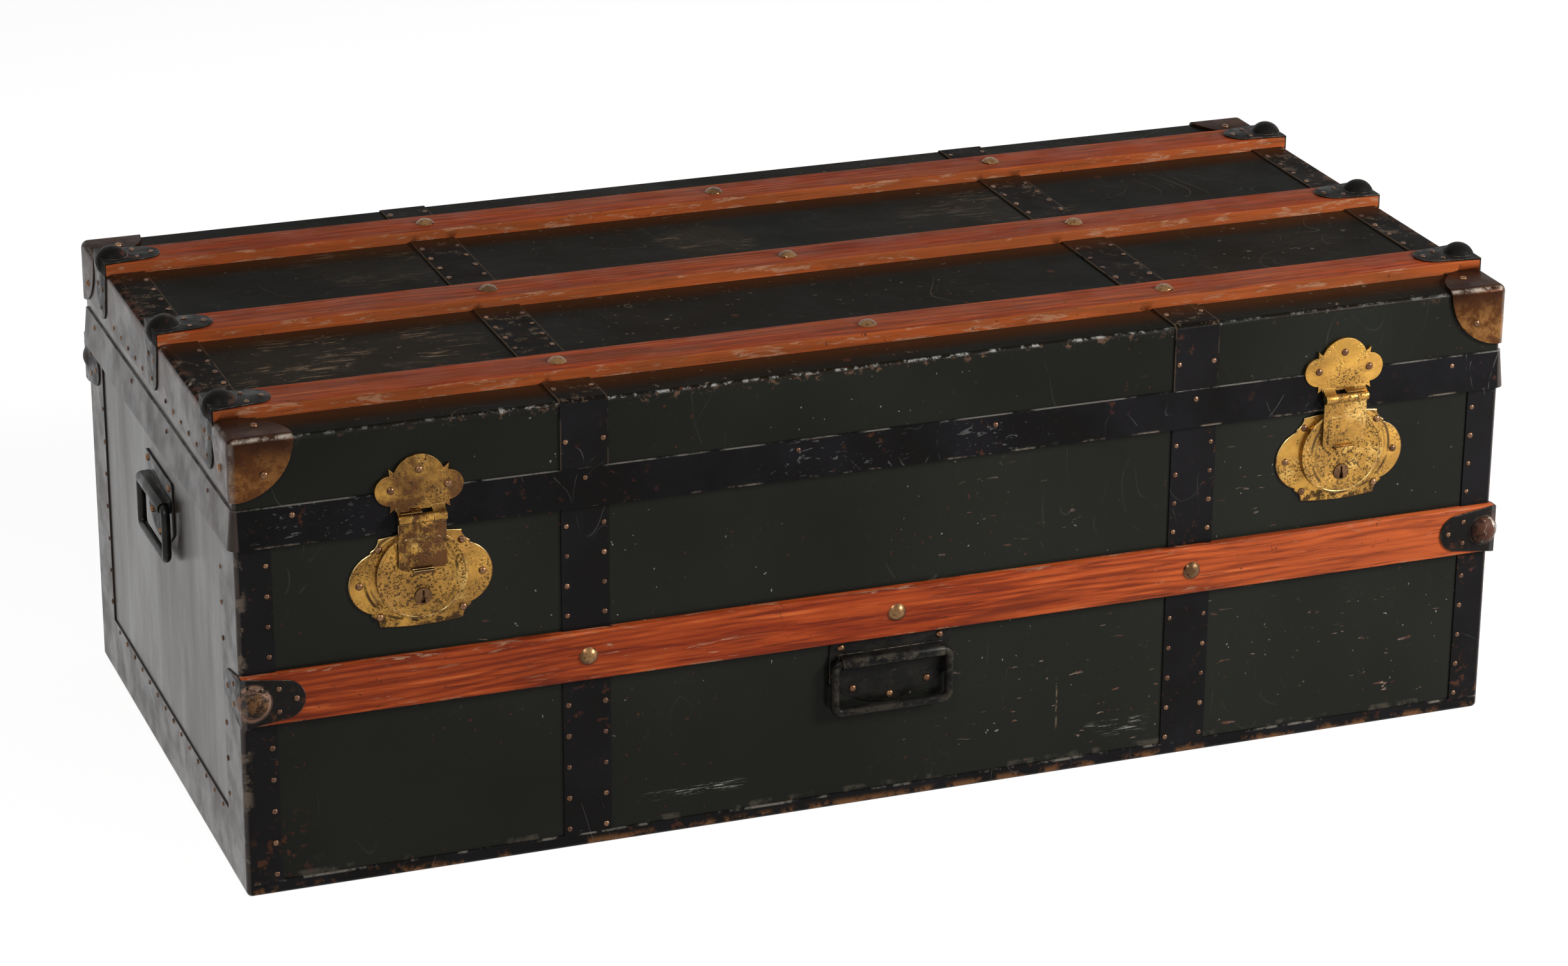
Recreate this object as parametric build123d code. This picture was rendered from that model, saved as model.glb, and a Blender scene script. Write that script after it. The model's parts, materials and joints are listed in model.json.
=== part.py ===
"""A sheet-clad wooden cabin trunk with a flat lid, wooden slats, brass hasp locks and bail handles.

Millimetres. +X runs along the length to the right, +Y to the back and +Z up.
The origin is the middle of the base, on the surface that the trunk stands on.
"""

import os
from math import atan, cos, degrees, radians, sin

from build123d import *

os.makedirs("parts", exist_ok=True)

# Carcass.
lid_length = 1000.0
trunk_depth = 468.0
seam_height = 282.0
lid_height = 70.0
seam_gap = 0.4
end_step = 1.0
board_thickness = 10.0
sheet_thickness = 0.8
band_thickness = 1.2
lining_thickness = 0.6
body_edge_radius = 3.0
lid_edge_radius = 3.5

# Flat steel bands.
cross_band_inset = 258.5
cross_band_width = 36.5
corner_band_front = 25.0
corner_band_end = 48.0
base_band_height = 11.0
base_band_end_height = 50.0
base_band_under = 30.0
lid_end_band_top = 29.0
lid_end_band_drop = 41.0

# The valance hangs from the lid over the seam, on the front and both ends.
valance_rise = 19.0
valance_drop = 10.5
valance_thickness = 1.5
valance_flare = 3.0
valance_seam_step = 1.9
valance_rear_stop = 6.0

# Wooden slats and the iron clamps over their ends.
body_slat_drop = 126.3
rear_slat_drop = 26.0
body_slat_width = 38.5
body_slat_thickness = 7.0
lid_slat_width = 38.0
lid_slat_thickness = 9.0
lid_slat_inset = 64.5
lid_slat_shift = -4.0
slat_edge_radius = 1.2
clamp_thickness = 1.2
clamp_reach = 45.0
clamp_tongue_half = 15.0
clamp_leg_length = 40.0
clamp_leg_half = 14.0
clamp_dome_radius = 13.0
clamp_dome_back = 8.0
clamp_dome_sink = 4.0
clamp_tongue_nails = ((-38.5, 0.0), (-25.5, 8.8), (-25.5, -8.8))
clamp_leg_nails = ((8.0, -14.0), (-8.0, -14.0), (0.0, -31.0))

# Corner caps of the lid.
cap_reach = 45.0
cap_thickness = 1.2
cap_rivet_in = 23.0
cap_rivet_drop = 26.0

# Nails, tacks and rivets: head radius and height.
tack_head = (2.4, 1.1)
rivet_head = (3.0, 1.8)
slat_rivet_head = (7.0, 3.6)
slat_rivet_shank = 1.5
tack_edge = 4.0
tack_pitch = 25.5
tack_band_end = 5.0
tack_above_slat = 12.0
tack_below_slat = 20.5
tack_below_valance = 14.5
tack_above_plate = 14.0
tack_above_valance = 21.0
tack_beside_clamp = 18.0
valance_tack_drop = 7.5
valance_tack_inset = 42.0
valance_tack_middle = 78.0
valance_tack_end = (-170.0, -44.0, 69.0, 197.0)

# Locks, their covers, bolts and key plugs. Heights on a lock are measured from its middle.
lock_inset = 135.0
lock_drop = 50.0
lock_plate_half = (31.0, 34.0)
lock_plate_bow = 2.2
lock_cusp = (37.0, 25.2)
lock_cusp_hollow = 1.2
lock_lobe_radius = 24.5
lock_lobe_place = 29.1
lock_plate_thickness = 1.5
lock_rivet_places = ((30.8, 26.0), (45.8, 0.0), (30.8, -26.0))
cover_radius = 34.0
cover_rise = 4.4
cover_depth = 4.6
cover_wall = 1.5
cover_face = 1.0
cover_rim = 0.4
cover_rim_width = 2.2
plug_drop = 11.8
plug_radius = 6.25
plug_clearance = 0.05
plug_proud = 0.7
plug_back_play = 0.2
keyhole_depth = 3.0
keyhole_stem = (0.8, 4.6)
keyhole_waist = -0.8
keyhole_foot = (1.5, -5.2)
bolt_thickness = 1.6
bolt_width = 6.0
bolt_length = 19.0
bolt_rest = 4.5
bolt_tail_place = 7.5
bolt_tail_width = 6.0
bolt_tail_play = 0.75
guide_thickness = 3.0
guide_play = 1.2

# Hasps, hinged to plates on the lid. Heights on a hasp are measured from its hinge axis.
hasp_axis_drop = 0.5
hasp_axis_out = 8.6
hasp_knuckle_radius = 3.5
hasp_pin_radius = 1.6
hasp_half = 17.8
hasp_centre_knuckle = 8.0
hasp_length = 39.2
hasp_thickness = 1.5
hasp_play = 0.3
hasp_corner = 3.5
hasp_lip_half = 8.0
hasp_lip_out = 3.6
hasp_lip_thickness = 2.4
hasp_panel_half = 13.5
hasp_panel_height = 22.0
hasp_panel_low = 2.0
hasp_panel_rise = 0.8
hasp_panel_corner = 2.0
knuckle_clearance = 0.5
hasp_plate_low = 5.0
hasp_plate_cover = 1.2
hasp_plate_fold = 2.5
hasp_top_lobe = (19.5, 26.5)
hasp_top_cusp = ((17.0, 32.6), (22.2, 36.9), (21.3, 30.4))
hasp_side_lobe = (11.2, 21.5, 20.6)
hasp_foot_half = 18.5
hasp_foot_cusp = ((21.4, 11.0), (22.2, 4.5), (18.5, 6.9))
hasp_web_rise = 3.0
hasp_rivet_places = ((0.0, 34.6), (-21.2, 20.9), (21.2, 20.9))
staple_half = 2.0
staple_drop = 31.5
staple_height = 11.0
staple_play = 0.3
staple_wall = 2.0
staple_tip = 0.6
staple_clearance = 1.3
bolt_play = 0.2

# Bail handles, one on the front and a narrower one on each end, measured from the bail's axis.
front_handle_drop = 162.0
front_handle_shift = -3.0
front_bail_width = 92.0
front_plate_top = 16.0
end_handle_drop = 52.0
end_handle_shift = -2.0
end_bail_width = 80.0
end_plate_top = 20.5
handle_axis_out = 6.5
bail_drop = 39.8
bail_radius = 3.5
bail_corner = 6.0
bail_clearance = 0.4
channel_wall = 1.0
channel_overlap = 1.0
handle_plate_thickness = 1.5
handle_plate_margin = 2.5
handle_plate_drop = 37.3
handle_plate_bow = 0.74
handle_plate_corner = 4.0
handle_rivet_columns = (0.86, 0.65, 0.0)
handle_rivet_rows = (-5.4, -23.6, -32.1)

# Lid hinges.
hinge_half = 30.0
hinge_knuckles = 5
hinge_knuckle_radius = 4.5
hinge_pin_radius = 2.0
hinge_leaf_thickness = 1.5
hinge_leaf_drop = 42.0
hinge_leaf_rise = 40.0
hinge_play = 0.3
pin_clearance = 0.05

# Lid stays: slotted arms that slide on studs inside both ends.
stay_reach = 150.0
stay_rest_angle = 10.0
stay_open_angle = 95.0
stay_width = 14.0
stay_thickness = 2.0
stay_gap = 3.0
stay_stud_radius = 3.0
stay_slot_clearance = 0.3
stay_head_radius = 5.5
stay_head_thickness = 1.2
stay_flange_radius = 7.0
stay_flange_thickness = 1.5
stay_side_play = 0.3

# Places that follow from the sizes above.
lid_top = seam_height + lid_height
body_length = lid_length - 2 * end_step
cross_band_place = lid_length / 2 - cross_band_inset
lock_place = lid_length / 2 - lock_inset
slat_rivet_places = (-cross_band_place, 0.0, cross_band_place)
hinge_places = (-lock_place, 0.0, lock_place)
valance_top = seam_height + valance_rise
valance_bottom = seam_height - valance_drop
body_slat_height = seam_height - body_slat_drop
rear_slat_height = seam_height - rear_slat_drop
lock_height = seam_height - lock_drop
front_handle_height = seam_height - front_handle_drop
end_handle_height = seam_height - end_handle_drop
hinge_leaf_low = seam_height - hinge_leaf_drop
hinge_leaf_high = seam_height + hinge_leaf_rise
body_top = seam_height - seam_gap / 2
lid_low = seam_height + seam_gap / 2
skin = sheet_thickness + board_thickness
half_depth = trunk_depth / 2
lid_slat_spacing = half_depth - lid_slat_inset
cavity_half_y = half_depth - skin
body_cavity_half_x = body_length / 2 - skin
lid_cavity_half_x = lid_length / 2 - skin
floor_top = band_thickness + skin
lid_ceiling = lid_top - skin
hinge_axis_y = half_depth + hinge_knuckle_radius
valance_outer = valance_thickness + valance_flare
valance_slope = valance_flare / (valance_top - valance_bottom)
hasp_axis_height = seam_height - hasp_axis_drop
staple_top = hasp_axis_height - staple_drop + staple_height / 2
staple_bottom = staple_top - staple_height
hasp_plate_thickness = valance_thickness + hasp_plate_cover
cover_height = lock_height + cover_rise
cover_out = lock_plate_thickness + cover_depth
staple_end = lock_plate_thickness + staple_play
bolt_low = staple_end + staple_tip + bolt_play
hasp_back = cover_out + cover_rim + hasp_play
hasp_front = hasp_back + hasp_thickness
stay_lean = radians(stay_rest_angle / 2)
stay_y = hinge_axis_y - stay_reach * cos(stay_lean)
stay_pivot_z = seam_height + stay_reach * sin(stay_lean)
stay_stud_z = seam_height - stay_reach * sin(stay_lean)
stay_outer = body_cavity_half_x - lining_thickness - stay_gap
stay_inner = stay_outer - stay_thickness
FAR = 2000.0
SIDES = (-1, 1)


def block(low, high):
    size = [b - a for a, b in zip(low, high)]
    middle = [(a + b) / 2 for a, b in zip(low, high)]
    return Pos(*middle) * Box(*size)


def rod(radius, start, end, axis):
    # A cylinder along one axis, from start to end on it.
    turn = {"X": (0, 90, 0), "Y": (-90, 0, 0), "Z": (0, 0, 0)}[axis]
    middle = (start + end) / 2
    place = {"X": (middle, 0, 0), "Y": (0, middle, 0), "Z": (0, 0, middle)}[axis]
    return Pos(*place) * Cylinder(radius, end - start, rotation=turn)


def dome(size):
    # A shallow spherical head that stands on its local XY plane.
    radius, height = size
    ball_radius = (radius**2 + height**2) / (2 * height)
    ball = Pos(0, 0, height - ball_radius) * Sphere(ball_radius)
    return ball & block((-radius, -radius, 0), (radius, radius, height))


def save(name, *shapes):
    solids = [solid for shape in shapes for solid in shape.solids()]
    export_step(Compound(solids), f"parts/{name}.step")


# Local planes on the trunk's faces: local X to the right, local Y up, local Z outward.
def on_front(x, z):
    return Plane(origin=(x, -half_depth, z), x_dir=(1, 0, 0), z_dir=(0, -1, 0))


def on_rear(x, z):
    return Plane(origin=(x, half_depth, z), x_dir=(-1, 0, 0), z_dir=(0, 1, 0))


def on_end(side, half_length, y, z):
    return Plane(origin=(side * half_length, y, z), x_dir=(0, side, 0), z_dir=(side, 0, 0))


def on_top(x, y):
    return Plane(origin=(x, y, lid_top), x_dir=(1, 0, 0), z_dir=(0, 0, 1))


# The outline of the body, or of the lid, at a distance outside its sheathing.
def body_form(offset):
    half_x = body_length / 2 + offset
    half_y = half_depth + offset
    form = block((-half_x, -half_y, band_thickness - offset), (half_x, half_y, body_top))
    rounded = form.edges().filter_by(Axis.Z) + form.edges().group_by(Axis.Z)[0]
    return fillet(rounded, body_edge_radius + offset)


def lid_form(offset):
    half_x = lid_length / 2 + offset
    half_y = half_depth + offset
    form = block((-half_x, -half_y, lid_low), (half_x, half_y, lid_top + offset))
    rounded = form.edges().filter_by(Axis.Z) + form.edges().group_by(Axis.Z)[-1]
    return fillet(rounded, lid_edge_radius + offset)


body_skin = body_form(0)
body_wood = body_form(-sheet_thickness)
body_sheet_layer = body_skin - body_wood
body_band_layer = body_form(band_thickness) - body_skin
lid_skin = lid_form(0)
lid_wood = lid_form(-sheet_thickness)
lid_sheet_layer = lid_skin - lid_wood
lid_band_layer = lid_form(band_thickness) - lid_skin


def body_boards():
    front = body_wood & block((-FAR, -FAR, 0), (FAR, -cavity_half_y, FAR))
    rear = body_wood & block((-FAR, cavity_half_y, 0), (FAR, FAR, FAR))
    left = body_wood & block((-FAR, -cavity_half_y, 0), (-body_cavity_half_x, cavity_half_y, FAR))
    right = body_wood & block((body_cavity_half_x, -cavity_half_y, 0), (FAR, cavity_half_y, FAR))
    low = (-body_cavity_half_x, -cavity_half_y, band_thickness + sheet_thickness)
    floor = block(low, (body_cavity_half_x, cavity_half_y, floor_top))
    save("body_front_board", front)
    save("body_rear_board", rear)
    save("body_left_board", left)
    save("body_right_board", right)
    save("body_bottom_board", floor)


def body_sheets():
    flat_x = body_length / 2 - body_edge_radius
    flat_y = half_depth - body_edge_radius
    front = body_sheet_layer & block((-FAR, -FAR, 0), (FAR, -flat_y, FAR))
    rear = body_sheet_layer & block((-FAR, flat_y, 0), (FAR, FAR, FAR))
    ends = [
        body_sheet_layer & block((-FAR, -flat_y, 0), (-flat_x, flat_y, FAR)),
        body_sheet_layer & block((flat_x, -flat_y, 0), (FAR, flat_y, FAR)),
    ]
    under = body_sheet_layer & block((-flat_x, -flat_y, 0), (flat_x, flat_y, floor_top))
    save("body_front_sheet", front)
    save("body_rear_sheet", rear)
    save("body_end_sheets", *ends)
    save("body_bottom_sheet", under)


def cross_band_blocks(low_y, high_y, low_z, high_z):
    half = cross_band_width / 2
    places = [side * cross_band_place for side in SIDES]
    return [block((x - half, low_y, low_z), (x + half, high_y, high_z)) for x in places]


def make_body_cross_bands():
    flat_y = half_depth - body_edge_radius
    front = cross_band_blocks(-FAR, -flat_y, base_band_height, FAR)
    rear = cross_band_blocks(flat_y, FAR, base_band_height, FAR)
    return [body_band_layer & piece for piece in front + rear]


def make_corner_bands():
    # One angle per upright corner. Its wide leg runs on down round the bottom edge of the end.
    flat_x = body_length / 2 - body_edge_radius
    flat_y = half_depth - body_edge_radius
    inner_x = body_length / 2 - corner_band_front
    front_leg = block((-FAR, -FAR, base_band_height), (-inner_x, -flat_y, FAR))
    end_leg = block((-FAR, -flat_y, 0), (-flat_x, -half_depth + corner_band_end, FAR))
    band = body_band_layer & (front_leg + end_leg)
    pair = [band, mirror(band, Plane.YZ)]
    return pair + [mirror(piece, Plane.XZ) for piece in pair]


def make_base_bands():
    # Edge bindings along the front and rear of the base, and deep plates across both ends.
    flat_x = body_length / 2 - body_edge_radius
    flat_y = half_depth - body_edge_radius
    under_y = half_depth - base_band_under
    wall = block((-FAR, -FAR, 0), (FAR, -flat_y, base_band_height))
    under = block((-flat_x, -flat_y, 0), (flat_x, -under_y, band_thickness))
    front = body_band_layer & (wall + under)
    end_y = half_depth - corner_band_end
    under_x = body_length / 2 - base_band_under
    plate = block((-FAR, -end_y, 0), (-flat_x, end_y, base_band_end_height))
    plate_under = block((-flat_x, -end_y, 0), (-under_x, end_y, band_thickness))
    end = body_band_layer & (plate + plate_under)
    return [front, mirror(front, Plane.XZ), end, mirror(end, Plane.YZ)]


def slat_along(plane, size):
    # A slat in the plane's own axes, eased along its two outer edges, with holes for its rivets.
    half_length, width, thickness = size
    slat = block((-half_length, -width / 2, 0), (half_length, width / 2, thickness))
    outer_edges = slat.edges().filter_by(Axis.X).group_by(Axis.Z)[-1]
    slat = fillet(outer_edges, slat_edge_radius)
    for x in slat_rivet_places:
        slat -= Pos(x, 0, 0) * rod(slat_rivet_shank, -1, thickness + 1, "Z")
    return plane.location * slat


def slat_rivet(thickness):
    # A domed head on the slat. Its shank goes through the slat and stops above the metal below.
    shank = rod(slat_rivet_shank, max(band_thickness, hinge_leaf_thickness), thickness, "Z")
    return Pos(0, 0, thickness) * dome(slat_rivet_head) + shank


def clamp_strap(half_width, tip_half, corner, tip, end):
    # A flat outline that narrows from the corner of the box to a round tip.
    outline = Polyline(
        (end, half_width),
        (corner, half_width),
        (tip + tip_half, tip_half),
        (tip + tip_half, -tip_half),
        (corner, -half_width),
        (end, -half_width),
        close=True,
    )
    return make_face(outline) + Pos(tip + tip_half, 0) * Circle(tip_half)


def clamp(slat_thickness, slat_width):
    # Local X runs out along the slat from the end of the box, local Z outward from the panel.
    top = slat_thickness + clamp_thickness
    outer = band_thickness + clamp_thickness
    half_width = slat_width / 2
    strap = clamp_strap(half_width, clamp_tongue_half, 0, -clamp_reach, outer)
    tongue = Pos(0, 0, slat_thickness) * extrude(strap, clamp_thickness)
    strap = clamp_strap(half_width, clamp_leg_half, 0, -clamp_leg_length, top)
    side_view = Plane(origin=(band_thickness, 0, 0), x_dir=(0, 0, 1), z_dir=(1, 0, 0))
    leg = side_view.location * extrude(strap, clamp_thickness)
    centre = Pos(-clamp_dome_back, 0, slat_thickness - clamp_dome_sink) * Rot(0, 90, 0)
    ball = centre * Sphere(clamp_dome_radius)
    hollow = centre * Sphere(clamp_dome_radius - clamp_thickness)
    wood = block((-FAR, -FAR, -FAR), (band_thickness, FAR, slat_thickness))
    return tongue + leg + (ball - wood) - hollow


def clamp_planes_body():
    planes = []
    for side in SIDES:
        for normal, z in ((-1, body_slat_height), (1, rear_slat_height)):
            origin = (side * body_length / 2, normal * half_depth, z)
            planes.append(Plane(origin=origin, x_dir=(side, 0, 0), z_dir=(0, normal, 0)))
    return planes


def lid_slat_places():
    return [lid_slat_shift + step * lid_slat_spacing for step in (-1, 0, 1)]


def clamp_planes_lid():
    return [
        Plane(origin=(side * lid_length / 2, y, lid_top), x_dir=(side, 0, 0), z_dir=(0, 0, 1))
        for side in SIDES
        for y in lid_slat_places()
    ]


def clamp_nails(plane, slat_thickness):
    # Three nails through the tongue and three through the leg of one clamp.
    head = dome(tack_head)
    top = slat_thickness + clamp_thickness
    nails = []
    for x, y in clamp_tongue_nails:
        nails.append(plane.location * Pos(x, y, top) * head)
    outward = band_thickness + clamp_thickness
    for y, z in clamp_leg_nails:
        nails.append(plane.location * Pos(outward, y, z) * Rot(0, 90, 0) * head)
    return nails


def make_caps(end_bands):
    layer = lid_form(band_thickness + cap_thickness) - lid_skin
    corner = Pos(-lid_length / 2, -half_depth, lid_top) * Sphere(cap_reach)
    cap = (layer & corner) - end_bands[0]
    pair = [cap, mirror(cap, Plane.YZ)]
    return pair + [mirror(piece, Plane.XZ) for piece in pair]


def make_lid_end_bands():
    inner_x = lid_length / 2 - lid_end_band_top
    flat_y = half_depth - lid_edge_radius
    band = lid_band_layer & block(
        (-FAR, -flat_y, lid_top - lid_end_band_drop), (-inner_x, flat_y, FAR)
    )
    return [band, mirror(band, Plane.YZ)]


def make_lid_cross_bands():
    # Each strap starts at the valance, crosses the top and comes down the rear to the seam.
    front = cross_band_blocks(-FAR, 0, valance_top, FAR)
    rear = cross_band_blocks(0, FAR, 0, FAR)
    return [lid_band_layer & (a + b) for a, b in zip(front, rear)]


def make_valance():
    # A flared strip round the front and both ends, in three lengths that meet behind the corners.
    section = [
        (0, valance_top),
        (valance_thickness, valance_top),
        (valance_outer, valance_bottom),
        (valance_flare, valance_bottom),
        (valance_seam_step, lid_low),
        (0, lid_low),
    ]
    rear = half_depth - valance_rear_stop
    corner_x = lid_length / 2
    start = Plane(origin=(-corner_x, rear, 0), x_dir=(-1, 0, 0), z_dir=(0, 1, 0))
    face = start * make_face(Polyline(*section, close=True))
    route = FilletPolyline(
        (-corner_x, rear, 0),
        (-corner_x, -half_depth, 0),
        (corner_x, -half_depth, 0),
        (corner_x, rear, 0),
        radius=lid_edge_radius,
    )
    strip = sweep(face, path=route)
    flat_y = half_depth - lid_edge_radius
    front = strip & block((-FAR, -FAR, 0), (FAR, -flat_y, FAR))
    left = strip & block((-FAR, -flat_y, 0), (0, FAR, FAR))
    right = strip & block((0, -flat_y, 0), (FAR, FAR, FAR))
    return [front, left, right]


def lock_plate():
    # A panel with bowed top and bottom edges and a cusp by each corner, between two round lobes.
    half_x, half_y = lock_plate_half
    cusp_x, cusp_y = lock_cusp
    hollow_x = (half_x + cusp_x) / 2 - lock_cusp_hollow
    hollow_y = (half_y + cusp_y) / 2 - lock_cusp_hollow
    bow = ThreePointArc((-half_x, half_y), (0, half_y + lock_plate_bow), (half_x, half_y))
    corner = ThreePointArc((half_x, half_y), (hollow_x, hollow_y), (cusp_x, cusp_y))
    upper = [bow, corner, mirror(corner, Plane.YZ)]
    lower = [mirror(edge, Plane.XZ) for edge in upper]
    sides = [Line((side * cusp_x, cusp_y), (side * cusp_x, -cusp_y)) for side in SIDES]
    plate = make_face(upper + lower + sides)
    for side in SIDES:
        plate += Pos(side * lock_lobe_place, 0) * Circle(lock_lobe_radius)
    return extrude(plate, lock_plate_thickness)


def lock_cover():
    # A round cup over the works, with a rim, a hole for the key plug and a slot for the hasp's staple.
    back = lock_plate_thickness
    inside = cover_out - cover_face
    cup = rod(cover_radius, back, cover_out + cover_rim, "Z")
    cup -= rod(cover_radius - cover_rim_width, cover_out, FAR, "Z")
    cup -= rod(cover_radius - cover_wall, 0, inside, "Z")
    guide_low = staple_top - cover_height - guide_play
    guide_high = guide_low + guide_thickness
    cup += block((bolt_rest + 1, guide_low, back), (bolt_rest + bolt_length, guide_high, inside))
    plug_place = Pos(0, -plug_drop - cover_rise, 0)
    cup -= plug_place * rod(plug_radius + plug_clearance, 0, FAR, "Z")
    slot_half = staple_half + staple_clearance
    slot_low = staple_bottom - cover_height - staple_clearance
    cup -= block((-slot_half, slot_low, back), (slot_half, FAR, FAR))
    return Pos(0, cover_rise, 0) * cup


def lock_bolt():
    # A flat bar beside the staple, with a tail that reaches down to the key plug.
    high = bolt_low + bolt_thickness
    middle = (staple_top + staple_bottom) / 2 - lock_height
    bar_low = middle - bolt_width / 2
    bar_high = middle + bolt_width / 2
    bar = block((bolt_rest, bar_low, bolt_low), (bolt_rest + bolt_length, bar_high, high))
    tail_x = bolt_rest + bolt_tail_place
    tail_low = -plug_drop + plug_radius + bolt_tail_play
    return bar + block((tail_x, tail_low, bolt_low), (tail_x + bolt_tail_width, bar_low, high))


def key_plug():
    # The keyhole is a narrow slot above the middle of the plug and a wider one below.
    front = cover_out + plug_proud
    bottom = front - keyhole_depth
    stem_half, stem_top = keyhole_stem
    foot_half, foot_low = keyhole_foot
    plug = rod(plug_radius, lock_plate_thickness + plug_back_play, front, "Z")
    plug -= block((-stem_half, keyhole_waist, bottom), (stem_half, stem_top, FAR))
    plug -= block((-foot_half, foot_low, bottom), (foot_half, keyhole_waist, FAR))
    return Pos(0, -plug_drop, 0) * plug


def hasp_plate():
    # Three lobes with cusps between them, a foot over the valance and two knuckles of the hinge.
    top_radius, top_z = hasp_top_lobe
    side_radius, side_x, side_z = hasp_side_lobe
    outline = Pos(0, top_z) * Circle(top_radius)
    outline += Pos(0, (side_z + hasp_plate_low) / 2) * Rectangle(2 * hasp_foot_half, side_z - hasp_plate_low)
    for side in SIDES:
        outline += Pos(side * side_x, side_z) * Circle(side_radius)
        for cusp in (hasp_top_cusp, hasp_foot_cusp):
            points = [(side * x, z) for x, z in cusp] + [(0, side_z)]
            outline += make_face(Polyline(*points, close=True))
    high = valance_top - hasp_axis_height
    front_low = valance_thickness + high * valance_slope + hasp_plate_cover
    section = Polyline(
        (0, 0),
        (0, FAR),
        (hasp_plate_thickness, FAR),
        (hasp_plate_thickness, high - hasp_plate_fold),
        (front_low, 0),
        close=True,
    )
    plate = extrude(outline, 2 * valance_outer) & along_hasp(section, -FAR, FAR)
    web = Polyline(
        (valance_thickness, hasp_plate_low + hasp_web_rise),
        (hasp_plate_thickness, hasp_plate_low + hasp_web_rise),
        (hasp_axis_out, hasp_knuckle_radius),
        (hasp_axis_out, 0),
        (hasp_axis_out - hasp_knuckle_radius, hasp_web_rise / 2),
        (valance_thickness, hasp_plate_low),
        close=True,
    )
    gap = hasp_centre_knuckle + hinge_play
    for low, high in ((-hasp_half, -gap), (gap, hasp_half)):
        plate += along_hasp(web, low, high)
        plate += Pos(0, 0, hasp_axis_out) * rod(hasp_knuckle_radius, low, high, "X")
    return plate - Pos(0, 0, hasp_axis_out) * rod(hasp_pin_radius, -FAR, FAR, "X")


def along_hasp(section, low, high):
    # A prism along the hinge axis, from an outline of distances outward and upward.
    side_view = Plane(origin=(low, 0, 0), x_dir=(0, 0, 1), z_dir=(-1, 0, 0))
    return extrude(side_view * make_face(section), low - high)


def hasp_leaf():
    # The middle knuckle, a leaf with a raised panel, a bent lip and a staple with an eye behind.
    bottom = -hasp_length
    shoulder = -hasp_knuckle_radius - knuckle_clearance
    leaf = block((-hasp_half, bottom, hasp_back), (hasp_half, shoulder, hasp_front))
    leaf = fillet(leaf.edges().filter_by(Axis.Z).group_by(Axis.Y)[0], hasp_corner)
    neck = hasp_centre_knuckle
    leaf += block((-neck, shoulder, hasp_back), (neck, 0, hasp_front))
    panel_low = bottom + hasp_panel_low
    panel_high = panel_low + hasp_panel_height
    panel_front = hasp_front + hasp_panel_rise
    panel = block((-hasp_panel_half, panel_low, hasp_front), (hasp_panel_half, panel_high, panel_front))
    leaf += fillet(panel.edges().filter_by(Axis.Z), hasp_panel_corner)
    lip_low = bottom - hasp_lip_thickness
    lip_front = hasp_front + hasp_lip_out
    leaf += block((-hasp_lip_half, lip_low, hasp_back), (hasp_lip_half, bottom, lip_front))
    axis = Pos(0, 0, hasp_axis_out)
    leaf += axis * rod(hasp_knuckle_radius, -neck, neck, "X")
    leaf -= axis * rod(hasp_pin_radius + pin_clearance, -FAR, FAR, "X")
    high = -staple_drop + staple_height / 2
    low = high - staple_height
    staple = block((-staple_half, low, staple_end), (staple_half, high, hasp_back))
    eye_low = (-FAR, low + staple_wall, staple_end + staple_tip)
    eye_high = (FAR, high - staple_wall, bolt_low + bolt_thickness + bolt_play)
    staple -= block(eye_low, eye_high)
    return leaf + staple


def handle_plate(bail_width, plate_top):
    # Local origin on the bail's axis, local Z outward from the panel. The lower edge is bowed.
    half = bail_width / 2 + handle_plate_margin
    height = plate_top + handle_plate_drop
    middle = (plate_top - handle_plate_drop) / 2
    outline = Pos(0, middle) * RectangleRounded(2 * half, height, handle_plate_corner)
    bow = handle_plate_bow * bail_width
    outline &= Pos(0, bow - handle_plate_drop) * Circle(bow) + Pos(0, bow / 2) * Rectangle(FAR, bow)
    plate = extrude(outline, handle_plate_thickness)
    outer = bail_radius + bail_clearance + channel_wall
    half = bail_width / 2 - bail_corner + channel_overlap
    axis = Pos(0, 0, handle_axis_out)
    channel = axis * rod(outer, -half, half, "X")
    channel += block((-half, -outer, handle_plate_thickness), (half, outer, handle_axis_out))
    channel -= axis * rod(bail_radius + bail_clearance, -FAR, FAR, "X")
    return plate + channel


def handle_rivets(bail_width, plate_top):
    # Two rivets near the top of the plate, two below them and one in the middle of the bow.
    rows = (plate_top + handle_rivet_rows[0],) + handle_rivet_rows[1:]
    half = bail_width / 2
    places = {(side * half * part, row) for side in SIDES for part, row in zip(handle_rivet_columns, rows)}
    return [Pos(x, y, handle_plate_thickness) * dome(rivet_head) for x, y in sorted(places)]


def bail(bail_width):
    # A closed loop of round wire: half of it is swept round its two corners and mirrored.
    half = bail_width / 2
    corners = [(0, 0, 0), (half, 0, 0), (half, -bail_drop, 0), (0, -bail_drop, 0)]
    route = FilletPolyline(*corners, radius=bail_corner)
    loop = sweep(Plane.YZ * Circle(bail_radius), path=route)
    return Pos(0, 0, handle_axis_out) * (loop + mirror(loop, Plane.YZ))


def hinge_spans():
    # The knuckles share the hinge's width in turn: body, lid, body, lid, body.
    pitch = 2 * hinge_half / hinge_knuckles
    starts = [-hinge_half + k * pitch for k in range(hinge_knuckles)]
    return [(start + hinge_play / 2, start + pitch - hinge_play / 2) for start in starts]


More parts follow.
